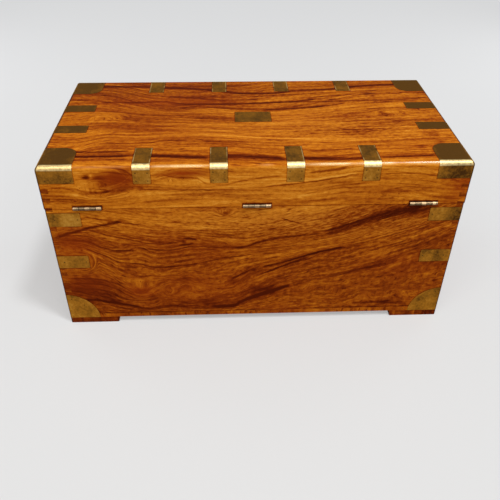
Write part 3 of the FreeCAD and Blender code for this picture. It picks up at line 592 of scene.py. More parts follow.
LID_EYE = over_edge(0.345, 0.425)
LID_ALMOND = over_edge(0.16, 0.433)
RAIL_STROKES = [
    (0.17, 0.0036, [(0.47, 0.412), (0.40, 0.407), (0.36, 0.399), (0.33, 0.400), (0.28, 0.409)]),
    (0.22, 0.002, [(0.398, 0.438), (0.374, 0.4365), (0.35, 0.4355)]),
    (0.18, 0.002, [(0.212, 0.447), (0.19, 0.452), (0.15, 0.455), (0.11, 0.454)]),
    (0.22, 0.003, [(0.215, 0.446), (0.189, 0.435), (0.166, 0.432), (0.143, 0.431), (0.127, 0.425),
                    (0.107, 0.414), (0.08, 0.412), (0.056, 0.417), (0.017, 0.425), (-0.06, 0.434)]),
    (0.14, 0.004, [(0.40, 0.401), (0.378, 0.395), (0.351, 0.397), (0.32, 0.404), (0.278, 0.416)]),
    (0.16, 0.0036, [(0.33, 0.462), (0.314, 0.460), (0.295, 0.454), (0.278, 0.443), (0.26, 0.425)]),
    (-0.13, 0.002, [(0.335, 0.459), (0.316, 0.456), (0.300, 0.448), (0.290, 0.439), (0.278, 0.42)]),
    (-0.12, 0.002, [(0.34, 0.409), (0.319, 0.414), (0.299, 0.422), (0.285, 0.433), (0.270, 0.45)]),
    (-0.08, 0.002, [(0.394, 0.404), (0.365, 0.402), (0.336, 0.400), (0.311, 0.405), (0.28, 0.425)]),
    (0.14, 0.0024, [(0.388, 0.439), (0.373, 0.446), (0.350, 0.446), (0.329, 0.448), (0.29, 0.44)]),
    (0.14, 0.0014, [(0.17, 0.403), (0.144, 0.402), (0.125, 0.399), (0.08, 0.399), (0.05, 0.405)]),
    (0.26, 0.004, [(-0.105, 0.440), (-0.14, 0.443), (-0.21, 0.456)]),
    (0.22, 0.0022, [(-0.01, 0.405), (-0.10, 0.414), (-0.18, 0.427), (-0.24, 0.439)]),
    (-0.12, 0.003, [(-0.01, 0.409), (-0.10, 0.419), (-0.18, 0.432), (-0.24, 0.444)]),
    (0.24, 0.0022, [(-0.275, 0.433), (-0.32, 0.436), (-0.39, 0.430), (-0.46, 0.411)]),
    (0.14, 0.006, [(-0.27, 0.388), (-0.34, 0.387), (-0.39, 0.378), (-0.46, 0.368)]),
    (0.16, 0.002, [(0.28, 0.411), (0.24, 0.403), (0.17, 0.401), (0.09, 0.398)]),
]
LID_FIGURE = {
    **USUAL_FIGURE,
    "range": (-0.40, 0.40),
    "lines": [
        (-0.38, level(-0.38)),
        (-0.15, LID_FARTHEST),
        (-0.08, LID_FAR),
        (0.0, [(0.48, 0.0), (0.4, -0.01), (0.3, 0.0), (0.1, 0.02), (0.0, 0.03), (-0.2, 0.02), (-0.48, 0.0)]),
        (0.135, LID_UPPER),
        (0.205, LID_STREAK),
        (0.255, RAIL_HIGH),
        (0.295, RAIL_SWEEP),
        (0.325, RAIL_LOW),
        (0.38, level(0.38)),
    ],
    "knots": [
        (LID_EYE, (0.060, 0.021), 0.022),
        (LID_ALMOND, (0.045, 0.010), 0.020),
        ((0.375, -0.012), (0.055, 0.018), 0.020),
        ((-0.355, -0.024), (0.035, 0.012), 0.022),
    ],
    "left_tone": [
        (-0.30, 0.50), (-0.20, 0.46), (-0.15, 0.46), (-0.115, 0.52), (-0.08, 0.46), (-0.05, 0.56),
        (0.0, 0.58), (0.06, 0.62), (0.11, 0.64), (0.135, 0.62), (0.16, 0.62), (0.205, 0.56), (0.23, 0.70),
        (0.255, 0.72), (0.275, 0.74), (0.295, 0.74), (0.31, 0.78), (0.325, 0.74), (0.35, 0.75),
    ],
    "right_tone": [
        (-0.30, 0.56), (-0.20, 0.58), (-0.15, 0.60), (-0.115, 0.64), (-0.08, 0.58), (-0.05, 0.66),
        (0.0, 0.66), (0.06, 0.66), (0.11, 0.66), (0.135, 0.62), (0.16, 0.68), (0.205, 0.60), (0.23, 0.74),
        (0.255, 0.78), (0.275, 0.78), (0.295, 0.77), (0.31, 0.80), (0.325, 0.74), (0.35, 0.76),
    ],
    "strokes": [
        (0.34, 0.008, [(0.42, -0.205), (0.30, -0.200), (0.10, -0.171), (0.05, -0.156), (-0.03, -0.147),
                        (-0.11, -0.163), (-0.23, -0.174), (-0.31, -0.194), (-0.42, -0.202)]),
        (0.28, 0.006, [(0.40, -0.107), (0.29, -0.095), (0.24, -0.100), (0.16, -0.079), (0.04, -0.080),
                        (-0.03, -0.084), (-0.18, -0.113)]),
        (0.16, 0.008, [(0.22, -0.094), (0.16, -0.080), (0.03, -0.081)]),
        (0.28, 0.006, [(0.23, -0.130), (0.14, -0.121), (0.10, -0.110), (0.03, -0.105), (-0.03, -0.110)]),
        (0.18, 0.005, [(0.01, -0.128), (-0.08, -0.133), (-0.19, -0.147), (-0.36, -0.164)]),
        (0.18, 0.004, [(0.01, -0.108), (-0.08, -0.112), (-0.21, -0.126), (-0.35, -0.143)]),
        (0.20, 0.005, [(0.02, -0.081), (-0.10, -0.089), (-0.25, -0.092), (-0.48, -0.113)]),
        (0.30, 0.006, [(-0.02, -0.040), (-0.12, -0.050), (-0.19, -0.061), (-0.25, -0.085)]),
        (0.22, 0.0045, [(0.36, 0.138), (0.24, 0.134), (0.20, 0.125), (0.15, 0.134)]),
        (0.24, 0.0045, [(0.13, 0.124), (0.11, 0.130), (0.07, 0.133), (0.01, 0.137)]),
        (0.20, 0.005, [(-0.11, 0.185), (-0.17, 0.182), (-0.23, 0.173)]),
        (0.30, 0.005, [(0.44, 0.172), (0.37, 0.177), (0.28, 0.172)]),
        (0.36, 0.006, [(0.44, 0.195), (0.37, 0.200), (0.28, 0.196)]),
        (0.22, 0.005, [(0.44, 0.216), (0.28, 0.212)]),
        (0.22, 0.0045, [(0.24, 0.175), (0.10, 0.179)]),
        (0.34, 0.0085, [(0.28, 0.193), (0.24, 0.197), (0.15, 0.206), (0.10, 0.209)]),
        (0.38, 0.012, [(0.10, 0.202), (0.07, 0.204), (-0.01, 0.210), (-0.07, 0.219)]),
        (0.36, 0.009, [(-0.08, 0.213), (-0.10, 0.215), (-0.18, 0.222), (-0.24, 0.219), (-0.27, 0.218)]),
        (0.26, 0.005, [(-0.27, 0.218), (-0.41, 0.212)]),
        (0.14, 0.004, [(-0.11, 0.190), (-0.23, 0.193)]),
    ] + [(depth, width, rolled(points)) for depth, width, points in RAIL_STROKES],
    "spots": [
        ((0.122, -0.114), (0.100, 0.030), 0.12),
        ((0.208, -0.010), (0.160, 0.030), 0.10),
        ((-0.212, -0.103), (0.011, 0.005), 0.45),
        ((-0.317, -0.142), (0.014, 0.006), 0.34),
        ((-0.328, -0.123), (0.008, 0.007), 0.36),
        ((-0.135, 0.097), (0.012, 0.004), 0.30),
        ((-0.035, 0.126), (0.007, 0.003), 0.24),
        ((-0.266, 0.062), (0.014, 0.003), 0.26),
        ((-0.357, 0.033), (0.024, 0.008), 0.22),
        ((-0.425, 0.102), (0.020, 0.012), 0.28),
        ((-0.381, 0.168), (0.010, 0.006), 0.28),
        ((-0.433, 0.149), (0.012, 0.007), 0.30),
        ((-0.252, 0.097), (0.045, 0.014), 0.09),
        ((-0.353, -0.026), (0.022, 0.012), -0.12),
        ((-0.119, -0.002), (0.060, 0.025), -0.06),
        (over_edge(0.306, 0.431), (0.044, 0.021), 0.46),
        (over_edge(0.298, 0.438), (0.018, 0.012), 0.10),
        (over_edge(0.375, 0.4365), (0.0080, 0.0055), 0.60),
        (over_edge(0.364, 0.4375), (0.0040, 0.0060), -0.26),
        (over_edge(0.346, 0.4345), (0.0130, 0.0050), 0.42),
        (over_edge(0.370, 0.4520), (0.0450, 0.0050), -0.12),
        (over_edge(0.380, 0.4240), (0.0350, 0.0060), -0.10),
        (over_edge(-0.470, 0.400), (0.032, 0.030), 0.20),
        (over_edge(0.475, 0.400), (0.020, 0.030), 0.10),
        (over_edge(0.158, 0.443), (0.048, 0.009), 0.34),
        ((0.330, 0.040), (0.120, 0.050), 0.18),
        ((-0.300, -0.130), (0.140, 0.040), -0.16),
        (over_edge(-0.197, 0.413), (0.040, 0.008), 0.20),
        (over_edge(-0.446, 0.366), (0.030, 0.012), 0.16),
        (over_edge(-0.367, 0.414), (0.080, 0.006), 0.08),
        (over_edge(-0.098, 0.375), (0.080, 0.012), -0.12),
        (over_edge(0.065, 0.402), (0.060, 0.014), -0.10),
        (over_edge(0.445, 0.395), (0.035, 0.018), 0.12),
        (over_edge(0.298, 0.454), (0.034, 0.010), 0.22),
        ((-0.06, -0.102), (0.110, 0.026), -0.10),
        ((-0.23, 0.100), (0.060, 0.020), 0.08),
        ((0.19, -0.040), (0.060, 0.026), 0.08),
    ],
    "calms": [
        (over_edge(0.326, 0.429), (0.055, 0.022), 0.50),
        (over_edge(0.158, 0.443), (0.050, 0.010), 0.50),
    ],
    "reds": [
        (over_edge(0.308, 0.431), (0.048, 0.024), 0.55),
        (over_edge(0.165, 0.443), (0.052, 0.010), 0.65),
        (over_edge(-0.470, 0.400), (0.034, 0.040), 0.45),
        ((0.20, -0.100), (0.200, 0.035), 0.30),
    ],
    "golds": [((-0.10, 0.050), (0.350, 0.120), 0.20), (over_edge(0.0, 0.400), (0.300, 0.050), 0.16)],
    "grainy": [((-0.28, 0.080), (0.200, 0.060), 0.40), ((0.05, -0.130), (0.300, 0.050), 0.30)],
    "dull": [(-0.07, 0.07, 0.30), (0.27, 0.42, 0.12), (-0.42, -0.31, 0.55)],
    "drift": 0.006,
    "fineness": 0.75,
    "line_length": 0.16,
    "fine": 0.76,
    "short": 0.30,
    "mottle": 0.24,
    "rolled": True,
}

BACK_LOW = [(0.12, 0.051), (0.07, 0.046), (0.04, 0.059), (0.01, 0.076), (-0.04, 0.096), (-0.09, 0.117)]
BACK_BOTTOM_LEFT = [(0.39, 0.083), (0.36, 0.071), (0.33, 0.059), (0.27, 0.045), (0.22, 0.050), (0.16, 0.043)]
BACK_FAINT = [(-0.22, 0.143), (-0.25, 0.157), (-0.29, 0.169), (-0.36, 0.195)]
BACK_UNDER = [(-0.01, 0.172), (-0.06, 0.188), (-0.11, 0.204), (-0.16, 0.220), (-0.22, 0.234)]
BACK_CONTOUR = [
    (0.42, 0.247), (0.387, 0.231), (0.358, 0.215), (0.332, 0.199), (0.284, 0.192), (0.236, 0.181),
    (0.175, 0.186), (0.076, 0.205), (0.015, 0.213),
]
BACK_CONTOUR_HIGH = [(0.28, 0.247), (0.25, 0.235), (0.20, 0.233), (0.16, 0.241), (0.09, 0.238), (0.03, 0.237)]
BACK_EDGE = [(0.39, 0.293), (0.345, 0.278), (0.284, 0.262), (0.249, 0.253), (0.206, 0.254), (0.177, 0.262)]
BACK_BAND = [
    (0.055, 0.234), (0.023, 0.239), (-0.009, 0.252), (-0.044, 0.262), (-0.121, 0.271), (-0.163, 0.276),
]
BACK_BAND_CORE = [
    (-0.163, 0.276), (-0.21, 0.288), (-0.255, 0.307), (-0.301, 0.324), (-0.346, 0.337), (-0.391, 0.345),
]
BACK_FIGURE = {
    **USUAL_FIGURE,
    "range": (-0.05, 0.50),
    "lines": [
        (0.00, level(0.0)),
        (0.07, [(0.48, 0.118)] + BACK_BOTTOM_LEFT + BACK_LOW[2:] + BACK_FAINT + [(-0.48, 0.240)]),
        (0.13, [(0.48, 0.166), (0.40, 0.160), (0.36, 0.140), (0.33, 0.120), (0.20, 0.128), (0.12, 0.125),
                (0.065, 0.135), (0.03, 0.155)] + BACK_UNDER[:-1]
         + [(-0.22, 0.230), (-0.30, 0.253), (-0.48, 0.320)]),
        (0.17, [(0.48, 0.252)] + BACK_CONTOUR
         + [(-0.06, 0.223), (-0.16, 0.242), (-0.30, 0.282), (-0.48, 0.345)]),
        (0.21, [(0.48, 0.266), (0.41, 0.264), (0.37, 0.246), (0.33, 0.235)] + BACK_CONTOUR_HIGH
         + [(-0.02, 0.241), (-0.13, 0.257), (-0.20, 0.270), (-0.30, 0.303), (-0.48, 0.370)]),
        (0.24, [(0.48, 0.280), (0.425, 0.292)] + BACK_EDGE[1:] + [(0.09, 0.250)] + BACK_BAND[1:]
         + BACK_BAND_CORE[1:] + [(-0.48, 0.410)]),
        (0.29, [(0.48, 0.335), (0.40, 0.333), (0.34, 0.320), (0.27, 0.306), (0.10, 0.290), (0.0, 0.290),
                (-0.10, 0.312), (-0.25, 0.350), (-0.48, 0.450)]),
        (0.37, [(0.48, 0.390), (0.0, 0.370), (-0.2, 0.400), (-0.48, 0.480)]),
    ],
    "knots": [
        ((0.285, 0.104), (0.034, 0.024), 0.014),
        ((0.168, 0.258), (0.020, 0.008), 0.012),
        ((0.074, 0.334), (0.016, 0.009), 0.012),
        ((-0.114, 0.088), (0.036, 0.022), 0.008),
    ],
    "curls": [((0.20, 0.112), (0.15, 0.050), 0.060), ((-0.24, 0.072), (0.15, 0.040), 0.030)],
    "hairpins": [((0.422, 0.2015), 0.026, 0.044, 0.200)],
    "left_tone": [
        (0.0, 0.46), (0.03, 0.43), (0.06, 0.39), (0.09, 0.42), (0.12, 0.46), (0.14, 0.50), (0.16, 0.49),
        (0.18, 0.48), (0.21, 0.48), (0.235, 0.50), (0.255, 0.57), (0.28, 0.60), (0.32, 0.61), (0.40, 0.61),
    ],
    "right_tone": [
        (0.0, 0.47), (0.03, 0.45), (0.06, 0.47), (0.09, 0.47), (0.13, 0.46), (0.16, 0.50), (0.20, 0.52),
        (0.225, 0.46), (0.245, 0.49), (0.26, 0.60), (0.29, 0.64), (0.32, 0.66), (0.40, 0.66),
    ],
    "strokes": [
        (0.38, 0.0046, [(0.48, 0.275), (0.455, 0.281), (0.419, 0.291), (0.388, 0.301), (0.352, 0.309),
                        (0.305, 0.319)]),
        (0.75, 0.0034, [(0.178, 0.265), (0.168, 0.2675), (0.154, 0.265), (0.137, 0.258)]),
        (0.55, 0.003, [(0.190, 0.244), (0.176, 0.2470), (0.163, 0.2485), (0.146, 0.2550)]),
        (0.30, 0.003, [(0.40, 0.333), (0.34, 0.320), (0.303, 0.312), (0.267, 0.306)]),
        (0.18, 0.003, [(0.465, 0.268), (0.412, 0.264), (0.373, 0.246), (0.339, 0.234)]),
        (0.28, 0.0034, [(0.355, 0.235), (0.32, 0.233), (0.285, 0.236)]),
        (0.20, 0.0028, BACK_CONTOUR),
        (0.20, 0.0026, BACK_EDGE),
        (0.18, 0.0026, BACK_CONTOUR_HIGH),
        (0.18, 0.003, [(0.377, 0.219), (0.351, 0.197), (0.321, 0.183), (0.285, 0.179)]),
        (0.26, 0.0040, BACK_BAND),
        (0.22, 0.0120, BACK_BAND_CORE),
        (0.14, 0.018, [(-0.17, 0.290), (-0.21, 0.302), (-0.26, 0.318), (-0.33, 0.332), (-0.42, 0.335)]),
        (0.36, 0.0045, [(0.07, 0.133), (0.04, 0.150), (0.015, 0.164), (-0.015, 0.175)]),
        (0.34, 0.0034, BACK_UNDER),
        (0.30, 0.0034, [(0.0, 0.145), (-0.035, 0.161), (-0.072, 0.180), (-0.132, 0.205)]),
        (0.22, 0.0080, BACK_FAINT),
        (0.48, 0.0065, BACK_LOW),
        (0.22, 0.010, [(0.02, 0.095), (-0.02, 0.104), (-0.06, 0.112)]),
        (0.12, 0.0050, BACK_BOTTOM_LEFT),
        (0.28, 0.005, [(0.45, 0.079), (0.42, 0.078), (0.386, 0.072), (0.349, 0.062), (0.295, 0.050)]),
        (0.16, 0.004, [(0.467, 0.113), (0.396, 0.090), (0.335, 0.068)]),
        (0.22, 0.0026, [(0.467, 0.150), (0.41, 0.148), (0.36, 0.135), (0.33, 0.115), (0.30, 0.090)]),
        (0.22, 0.0026, [(0.467, 0.135), (0.40, 0.130), (0.355, 0.115), (0.33, 0.095), (0.30, 0.074)]),
        (0.16, 0.0022, [(0.46, 0.120), (0.40, 0.112), (0.36, 0.094), (0.32, 0.070)]),
        (0.16, 0.007, [(-0.25, 0.047), (-0.33, 0.049), (-0.40, 0.036)]),
        (0.24, 0.0028, [(-0.047, 0.325), (-0.078, 0.312), (-0.114, 0.300)]),
        (0.26, 0.0016, [(0.47, 0.032), (0.2, 0.031), (-0.2, 0.033), (-0.47, 0.034)]),
    ],
    "spots": [
        ((0.414, 0.128), (0.062, 0.032), 0.34),
        ((0.370, 0.090), (0.055, 0.020), 0.16),
        ((0.430, 0.258), (0.055, 0.020), 0.14),
        ((0.290, 0.104), (0.018, 0.009), 0.26),
        ((0.262, 0.084), (0.012, 0.007), 0.24),
        ((0.178, 0.138), (0.020, 0.022), 0.14),
        ((0.131, 0.060), (0.016, 0.012), 0.20),
        ((0.060, 0.135), (0.016, 0.012), 0.24),
        ((-0.016, 0.096), (0.040, 0.014), 0.12),
        ((-0.114, 0.090), (0.030, 0.020), 0.06),
        ((-0.327, 0.056), (0.060, 0.016), 0.08),
        ((0.188, 0.098), (0.050, 0.020), -0.12),
        ((0.080, 0.125), (0.030, 0.018), -0.08),
        ((-0.415, 0.148), (0.060, 0.030), -0.15),
        ((-0.310, 0.212), (0.080, 0.024), -0.12),
        ((0.045, 0.262), (0.040, 0.014), -0.10),
        ((0.450, 0.315), (0.040, 0.030), 0.10),
        ((-0.170, 0.277), (0.010, 0.008), 0.20),
        ((0.074, 0.334), (0.012, 0.008), 0.30),
        ((-0.034, 0.290), (0.012, 0.005), 0.26),
        ((-0.076, 0.345), (0.006, 0.003), 0.30),
        ((0.174, 0.257), (0.005, 0.006), 0.34),
        ((0.155, 0.274), (0.018, 0.004), -0.16),
        ((0.161, 0.258), (0.007, 0.003), -0.10),
        ((0.215, 0.248), (0.030, 0.010), 0.12),
    ],
    "ripples": [((-0.33, 0.062), (0.09, 0.022), 0.42), ((-0.10, 0.085), (0.04, 0.025), 0.40)],
    "calms": [
        ((0.20, 0.105), (0.16, 0.045), 0.25),
        ((-0.12, 0.090), (0.05, 0.030), 0.30),
        ((-0.32, 0.110), (0.14, 0.060), 0.25),
    ],
    "reds": [
        ((0.430, 0.250), (0.060, 0.040), 0.45),
        ((0.420, 0.128), (0.070, 0.035), 0.35),
        ((0.285, 0.104), (0.045, 0.022), 0.45),
        ((0.150, 0.110), (0.160, 0.060), 0.25),
    ],
    "golds": [((-0.12, 0.315), (0.330, 0.050), 0.32)],
    "grainy": [((0.06, 0.310), (0.280, 0.045), 0.25), ((-0.30, 0.300), (0.160, 0.050), 0.15)],
    "fine": 0.60,
}


def plain_figure(flame, middle, contrast=0.9):
    """A board with a noise-made figure about one tone."""
    tone = [(-0.5, middle), (0.5, middle)]
    return {**USUAL_FIGURE, "flame": flame, "right_tone": tone, "contrast": contrast}


# ---- dirt lines round the inlays, and painted shade round the hinges and at the ends


GRIME = 0.0020
# painted shade round the hinges
HINGE_SHADE_WIDTH = 0.0042
HINGE_SHADE_SHARE = 1.3  # the painted shade round the hinges is this much darker
HINGE_SHADE_RISE = 0.001  # and reaches this far over the leaf, across the joint
HINGE_SIDE = (0.235, 0.240)  # y over which the painted shade round the hinges sets in on the lid: it has none at the front
END_SHADE_WIDTH = 0.0045  # painted shade darkens the wood this close to its ends
CORNER_ROUND = 0.032
SAME_PLACE = 1e-5
CORNER_STRAPS = ("upper_corner_strap_back_right", "middle_corner_strap_back_right")


def spans(name, axis):
    """The separate stretches that a node's solids cover along an axis, 0 for x."""
    mesh = nodes[name].data
    places = [v.co[axis] for v in mesh.vertices]
    faces = [[places[i] for i in face.vertices] for face in mesh.polygons]
    found = []
    for low, high in sorted((min(face), max(face)) for face in faces):
        if not found or low > found[-1][1] + SAME_PLACE:
            found.append([low, high])
        found[-1][1] = max(found[-1][1], high)
    return found


def right_straps_over_back():
    """Where the two back straps right of the middle start and end along x."""
    return spans("back_straps", 0)[2:]


def patch(x, y, x_low, x_high, y_low, y_high, width=GRIME):
    """A dirt line round a rectangle."""
    return rim(largest(outside(x, x_low, x_high), outside(y, y_low, y_high)), width)


def strap_dirt(axes, level_axis):
    """Dirt round the corner straps on the sides that run along level_axis, x or y, the same at both ends."""
    place = abs(axes[level_axis])
    boxes = [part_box(strap) for strap in CORNER_STRAPS]
    return largest(*[
        patch(place, axes["z"], getattr(low, level_axis), getattr(high, level_axis), low.z, high.z)
        for low, high in boxes
    ])


def front_inlays(axes):
    """Dirt round the corner brass on the long sides of the chest, and painted shade at their ends, the same
    at both ends.
    """
    x = abs(axes["x"])
    low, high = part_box("base_corner_back_right")
    radius = high.x - low.x
    dx = x - high.x
    dz = axes["z"] - low.z
    away = maths("SQRT", dx * dx + dz * dz) - radius
    # painted shade at the board's ends
    return largest(strap_dirt(axes, "x"), rim(away, GRIME), ease(x, high.x - END_SHADE_WIDTH, high.x))


def hinge_shade(axes):
    """A wider line of painted shade round each hinge."""
    x = abs(axes["x"])
    lines = []
    for hinge in ("middle", "right"):
        low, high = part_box(f"hinge_{hinge}_chest_leaf")
        # painted shade: a dark line round each hinge leaf
        lines.append(patch(x, axes["z"], low.x, high.x, low.z, high.z + HINGE_SHADE_RISE, HINGE_SHADE_WIDTH))
    return largest(*lines) * HINGE_SHADE_SHARE


def back_inlays(axes):
    """Dirt round the corner brass, and painted shade at the ends and round the hinges, on the back of the
    chest.
    """
    return largest(front_inlays(axes), hinge_shade(axes))


def end_inlays(axes):
    """Dirt round the brass on the ends of the chest, the same at both sides."""
    return strap_dirt(axes, "y")


def lid_inlays(axes):
    """Dirt round the brass on the lid's top and long rails, measured over the rounded edge, and painted shade
    at the ends and round the hinges.
    """
    x = abs(axes["x"])
    y = abs(axes["y"])
    rolled_y = y + (LID_TOP - axes["z"])
    low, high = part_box("back_straps")
    leg_end = high.y + LID_TOP - low.z
    dirt = [patch(x, rolled_y, start, end, low.y, leg_end) for start, end in right_straps_over_back()]
    low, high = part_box("lid_corner_back_right")
    inner_x = largest(low.x + CORNER_ROUND - x, 0.0)
    inner_y = largest(low.y + CORNER_ROUND - rolled_y, 0.0)
    round_side = maths("SQRT", inner_x * inner_x + inner_y * inner_y) - CORNER_ROUND
    dirt.append(rim(largest(round_side, rolled_y - (high.y + LID_TOP - low.z)), GRIME))
    start, end = spans("right_straps", 1)[1]
    dirt.append(patch(x, y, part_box("right_straps")[0].x, HALF_LENGTH, start, end))
    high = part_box("name_plate")[1]
    dirt.append(patch(x, y, -high.x, high.x, -high.y, high.y))
    # painted shade at the lid's ends
    dirt.append(ease(x, HALF_LENGTH - END_SHADE_WIDTH, HALF_LENGTH))
    return largest(*dirt, hinge_shade(axes) * ease(axes["y"], *HINGE_SIDE))


def paint_wood():
    """Every board of the chest."""
    lid = wood("wood_lid", "xyz", LID_FIGURE, lid_inlays, seed=1.0)
    paint(lid, "lid_top_board", "lid_back_rail", "lid_front_rail")
    back = wood("wood_back", "xzy", BACK_FIGURE, back_inlays, seed=2.0)
    paint(back, "back_board")
    front = wood("wood_front", "xzy", plain_figure(0.16, 0.50), front_inlays, seed=3.0)
    paint(front, "front_board")
    ends = wood("wood_ends", "yzx", plain_figure(0.14, 0.46), end_inlays, seed=4.0)
    paint(ends, "left_end_board", "right_end_board")
    side_rails = wood("wood_side_rails", "yzx", plain_figure(0.05, 0.52), None, seed=5.0)
    paint(side_rails, "lid_left_rail", "lid_right_rail")
    bottom = wood("wood_bottom", "xyz", plain_figure(0.10, 0.54), None, seed=6.0)
    paint(bottom, "bottom_board")
    feet = wood("wood_feet", "xyz", plain_figure(0.04, 0.33, 1.6), None, seed=7.0)
    paint(feet, *[name for name in nodes if name.startswith("foot_")])


# ---- metal


# Colours laid over the metal's own
# painted shade on faces that look up
UP_FACE_SHADE = (104, 78, 48)
SPECKS = (52, 34, 16)
# painted shade on edges that turn to the chest's ends
METAL_END_SHADE = (58, 40, 22)
GLANCING = (236, 200, 130)  # what it reflects at a low angle

END_DULL = 0.35  # how much duller the metal is at the chest's ends
END_DULL_WIDTH = 0.005
KNUCKLE_GAP = 0.0018
HIGHLIGHT_INSET = 0.0012  # the straps' painted highlight lines lie this far inside their sides
HIGHLIGHT_WIDTH = 0.0016
HIGHLIGHT_START = (0.150, 0.158)  # y over which these lines set in, away from the lid's middle


def metal(name, dark, middle, bright, roughness, polished_highlight=(232, 196, 128), top_shade=0.0, wear=1.0,
          dulled=None, rub_and_highlight=None):
    """Metal with tarnish in clouds, dirt specks, fine scratches, worn bright edges with a painted highlight
    and painted shade on end edges. A share of painted shade darkens faces that look up. dulled and a second
    function tell from a place how dark the metal is there, and where it has worn bright lines of painted
    highlight."""
    material, surface, (x, y, z), (nx, ny, nz) = new_material(name)
    big = cloud(x * 26.0, y * 26.0, z * 26.0, 3.0, 0.6)
    small = cloud(x * 160.0, y * 160.0, z * 160.0, 3.0, 0.6)
    speck = ease(cloud(x * 420.0, y * 420.0, z * 420.0, 2.0), 0.17, 0.26)
    scratch = cloud(x * 60.0 + z * 420.0, y * 60.0 - z * 300.0, z * 40.0 + x * 500.0, 2.0)
    up = ease(nz, 0.80, 0.97)
    # faces that look up are darkened by painted shade
    shade = 0.5 + 1.1 * big + 0.7 * small + 0.25 * scratch - up * top_shade
    loss = dulled(x, y, z) if dulled else x * 0.0
    shade = shade - loss
    colour = ramp(shade, [(0.0, dark), (0.5, middle), (1.0, bright)])
    # painted shade tint on faces that look up
    colour = tint(up * 0.35, colour, UP_FACE_SHADE)
    colour = tint(speck * 0.55, colour, SPECKS)
    # painted shade on the edges that turn to the chest's ends, which also dims their worn bright colour
    side = ease(abs(nx * ny) + abs(nx * nz), 0.06, 0.30)
    colour = tint(side * 0.6, colour, METAL_END_SHADE)
    # worn bright edges that are partly a painted highlight, stronger towards -x
    edge = ease(abs(ny * nz), 0.03, 0.22) * wear * (0.80 + 1.3 * small + 0.6 * big)
    edge = edge * (1.0 - loss) * (1.0 - side * 0.8) * (0.98 - x * 0.35)
    # painted highlight lines along the straps' sides
    if rub_and_highlight:
        edge = largest(edge, rub_and_highlight(x, y, z) * ease(big, -0.10, 0.10) * up * 0.42)
    colour = tint(edge, colour, polished_highlight)
    feed(surface.inputs["Base Color"], colour)
    feed(surface.inputs["Roughness"], roughness + 0.25 * small + speck * 0.25 + edge * 0.16 + up * 0.08)
    surface.inputs["Specular Tint"].default_value = srgb(*GLANCING)
    feed(surface.inputs["Metallic"], 1.0 - speck * 0.6 - up * top_shade * 0.3)
    emboss(surface, big * 0.8 + small * 0.35 + scratch * 0.2 - speck * 0.4, 0.0006, 0.35)
    return material


# (x, z) of brass that is more tarnished than the rest, how far that reaches and how much
DULL_BRASS = [
    (HALF_LENGTH, LID_TOP, 0.10, 0.22),
    (HALF_LENGTH, 0.325, 0.04, 0.19),
    (HALF_LENGTH, 0.03, 0.09, 0.05),
    (-HALF_LENGTH, LID_TOP, 0.10, 0.43),
    (-HALF_LENGTH, 0.18, 0.18, 0.17),
    (-HALF_LENGTH, 0.33, 0.05, 0.20),
]


def dull_corners(x, y, z):
    """More tarnish on some of the corner brass."""
    loss = x * 0.0
    for middle_x, middle_z, reach, amount in DULL_BRASS:
        loss = loss + ease(largest(abs(x - middle_x), abs(z - middle_z)), reach, reach * 0.6) * amount
    return loss + ease(abs(x), HALF_LENGTH - END_DULL_WIDTH, HALF_LENGTH) * END_DULL


def dull_knuckles(x, y, z):
    """Dirt between the hinges' knuckles, and tarnish on every second knuckle."""
    low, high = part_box("hinge_right_chest_leaf")
    spacing = (low.x + high.x) / 2
    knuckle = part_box("hinge_middle_chest_leaf")[1].x * 2 / 5
    place = maths("PINGPONG", x, spacing / 2)
    gaps = largest(rim(place - knuckle / 2, KNUCKLE_GAP), rim(place - knuckle * 1.5, KNUCKLE_GAP))
    second = ease(abs(place - knuckle), knuckle * 0.55, knuckle * 0.45)
    patina = ease(cloud(x * 55.0, y * 30.0, z * 30.0, 1.0), -0.05, 0.12)
    return largest(gaps * 0.95, second * 0.60, patina * 0.40)


def strap_side_highlights(x, y, z):
    """The thin lines of painted highlight along both sides of the straps, where they lie on the lid's top."""
    lines = []
    for start, end in right_straps_over_back():
        lines.append(rim(abs(x) - start - HIGHLIGHT_INSET, HIGHLIGHT_WIDTH))
        lines.append(rim(abs(x) - end + HIGHLIGHT_INSET, HIGHLIGHT_WIDTH))
    return largest(*lines) * ease(abs(y), *HIGHLIGHT_START)


def paint_metal():
    """Every brass and steel piece, by the name of the slot that the model gives it."""
    # each metal's edge colour is worn brightness that also stands for a painted highlight
    by_slot = {
        "inlaid_brass": metal("brass_inlaid", (72, 44, 18), (164, 108, 33), (208, 154, 66), 0.36,
                              polished_highlight=(244, 220, 160), top_shade=0.30, dulled=dull_corners,
                              rub_and_highlight=strap_side_highlights),
        "brass_pin": metal("brass_pins", (48, 30, 14), (84, 56, 26), (120, 86, 40), 0.45, wear=0.2),
        "hinge_brass": metal("brass_hinges", (30, 18, 10), (120, 88, 58), (206, 172, 130), 0.38,
                             polished_highlight=(212, 184, 144), dulled=dull_knuckles),
        "screw_brass": metal("brass_screws", (110, 80, 36), (160, 120, 56), (200, 160, 84), 0.32),
        "handle_brass": metal("brass_handles", (104, 72, 28), (168, 120, 48), (206, 160, 78), 0.28,
                              wear=0.7),
        "lock_steel": metal("steel_lock", (58, 54, 50), (112, 108, 102), (158, 154, 148), 0.36,
                            polished_highlight=(196, 194, 190), wear=0.5),
    }
    for shown in nodes.values():
        for slot in shown.material_slots:
            slot_name = slot.material.name.split(".")[0] if slot.material else ""
            if slot_name in by_slot:
                slot.link = "OBJECT"
                slot.material = by_slot[slot_name]


# ---- studio

PALE = 0.768
FLOOR_HALF = 10.0
SHADOW_SHARE = 0.50
FLOOR_SHADE = 0.64  # how light the floor is near the camera
FLOOR_RISE = 0.09  # and how much lighter it gets
FLOOR_RISE_END = 1.4  # from this far behind the chest to as far before it


def backdrop_ray(tree):
    """1 for a ray that shows the backdrop itself, straight or by reflection, and 0 for light on things."""
    path = add_node(tree, "LightPath")
    return largest(*[Field(path.outputs[f"Is {kind} Ray"]) for kind in ("Camera", "Glossy", "Transmission")])


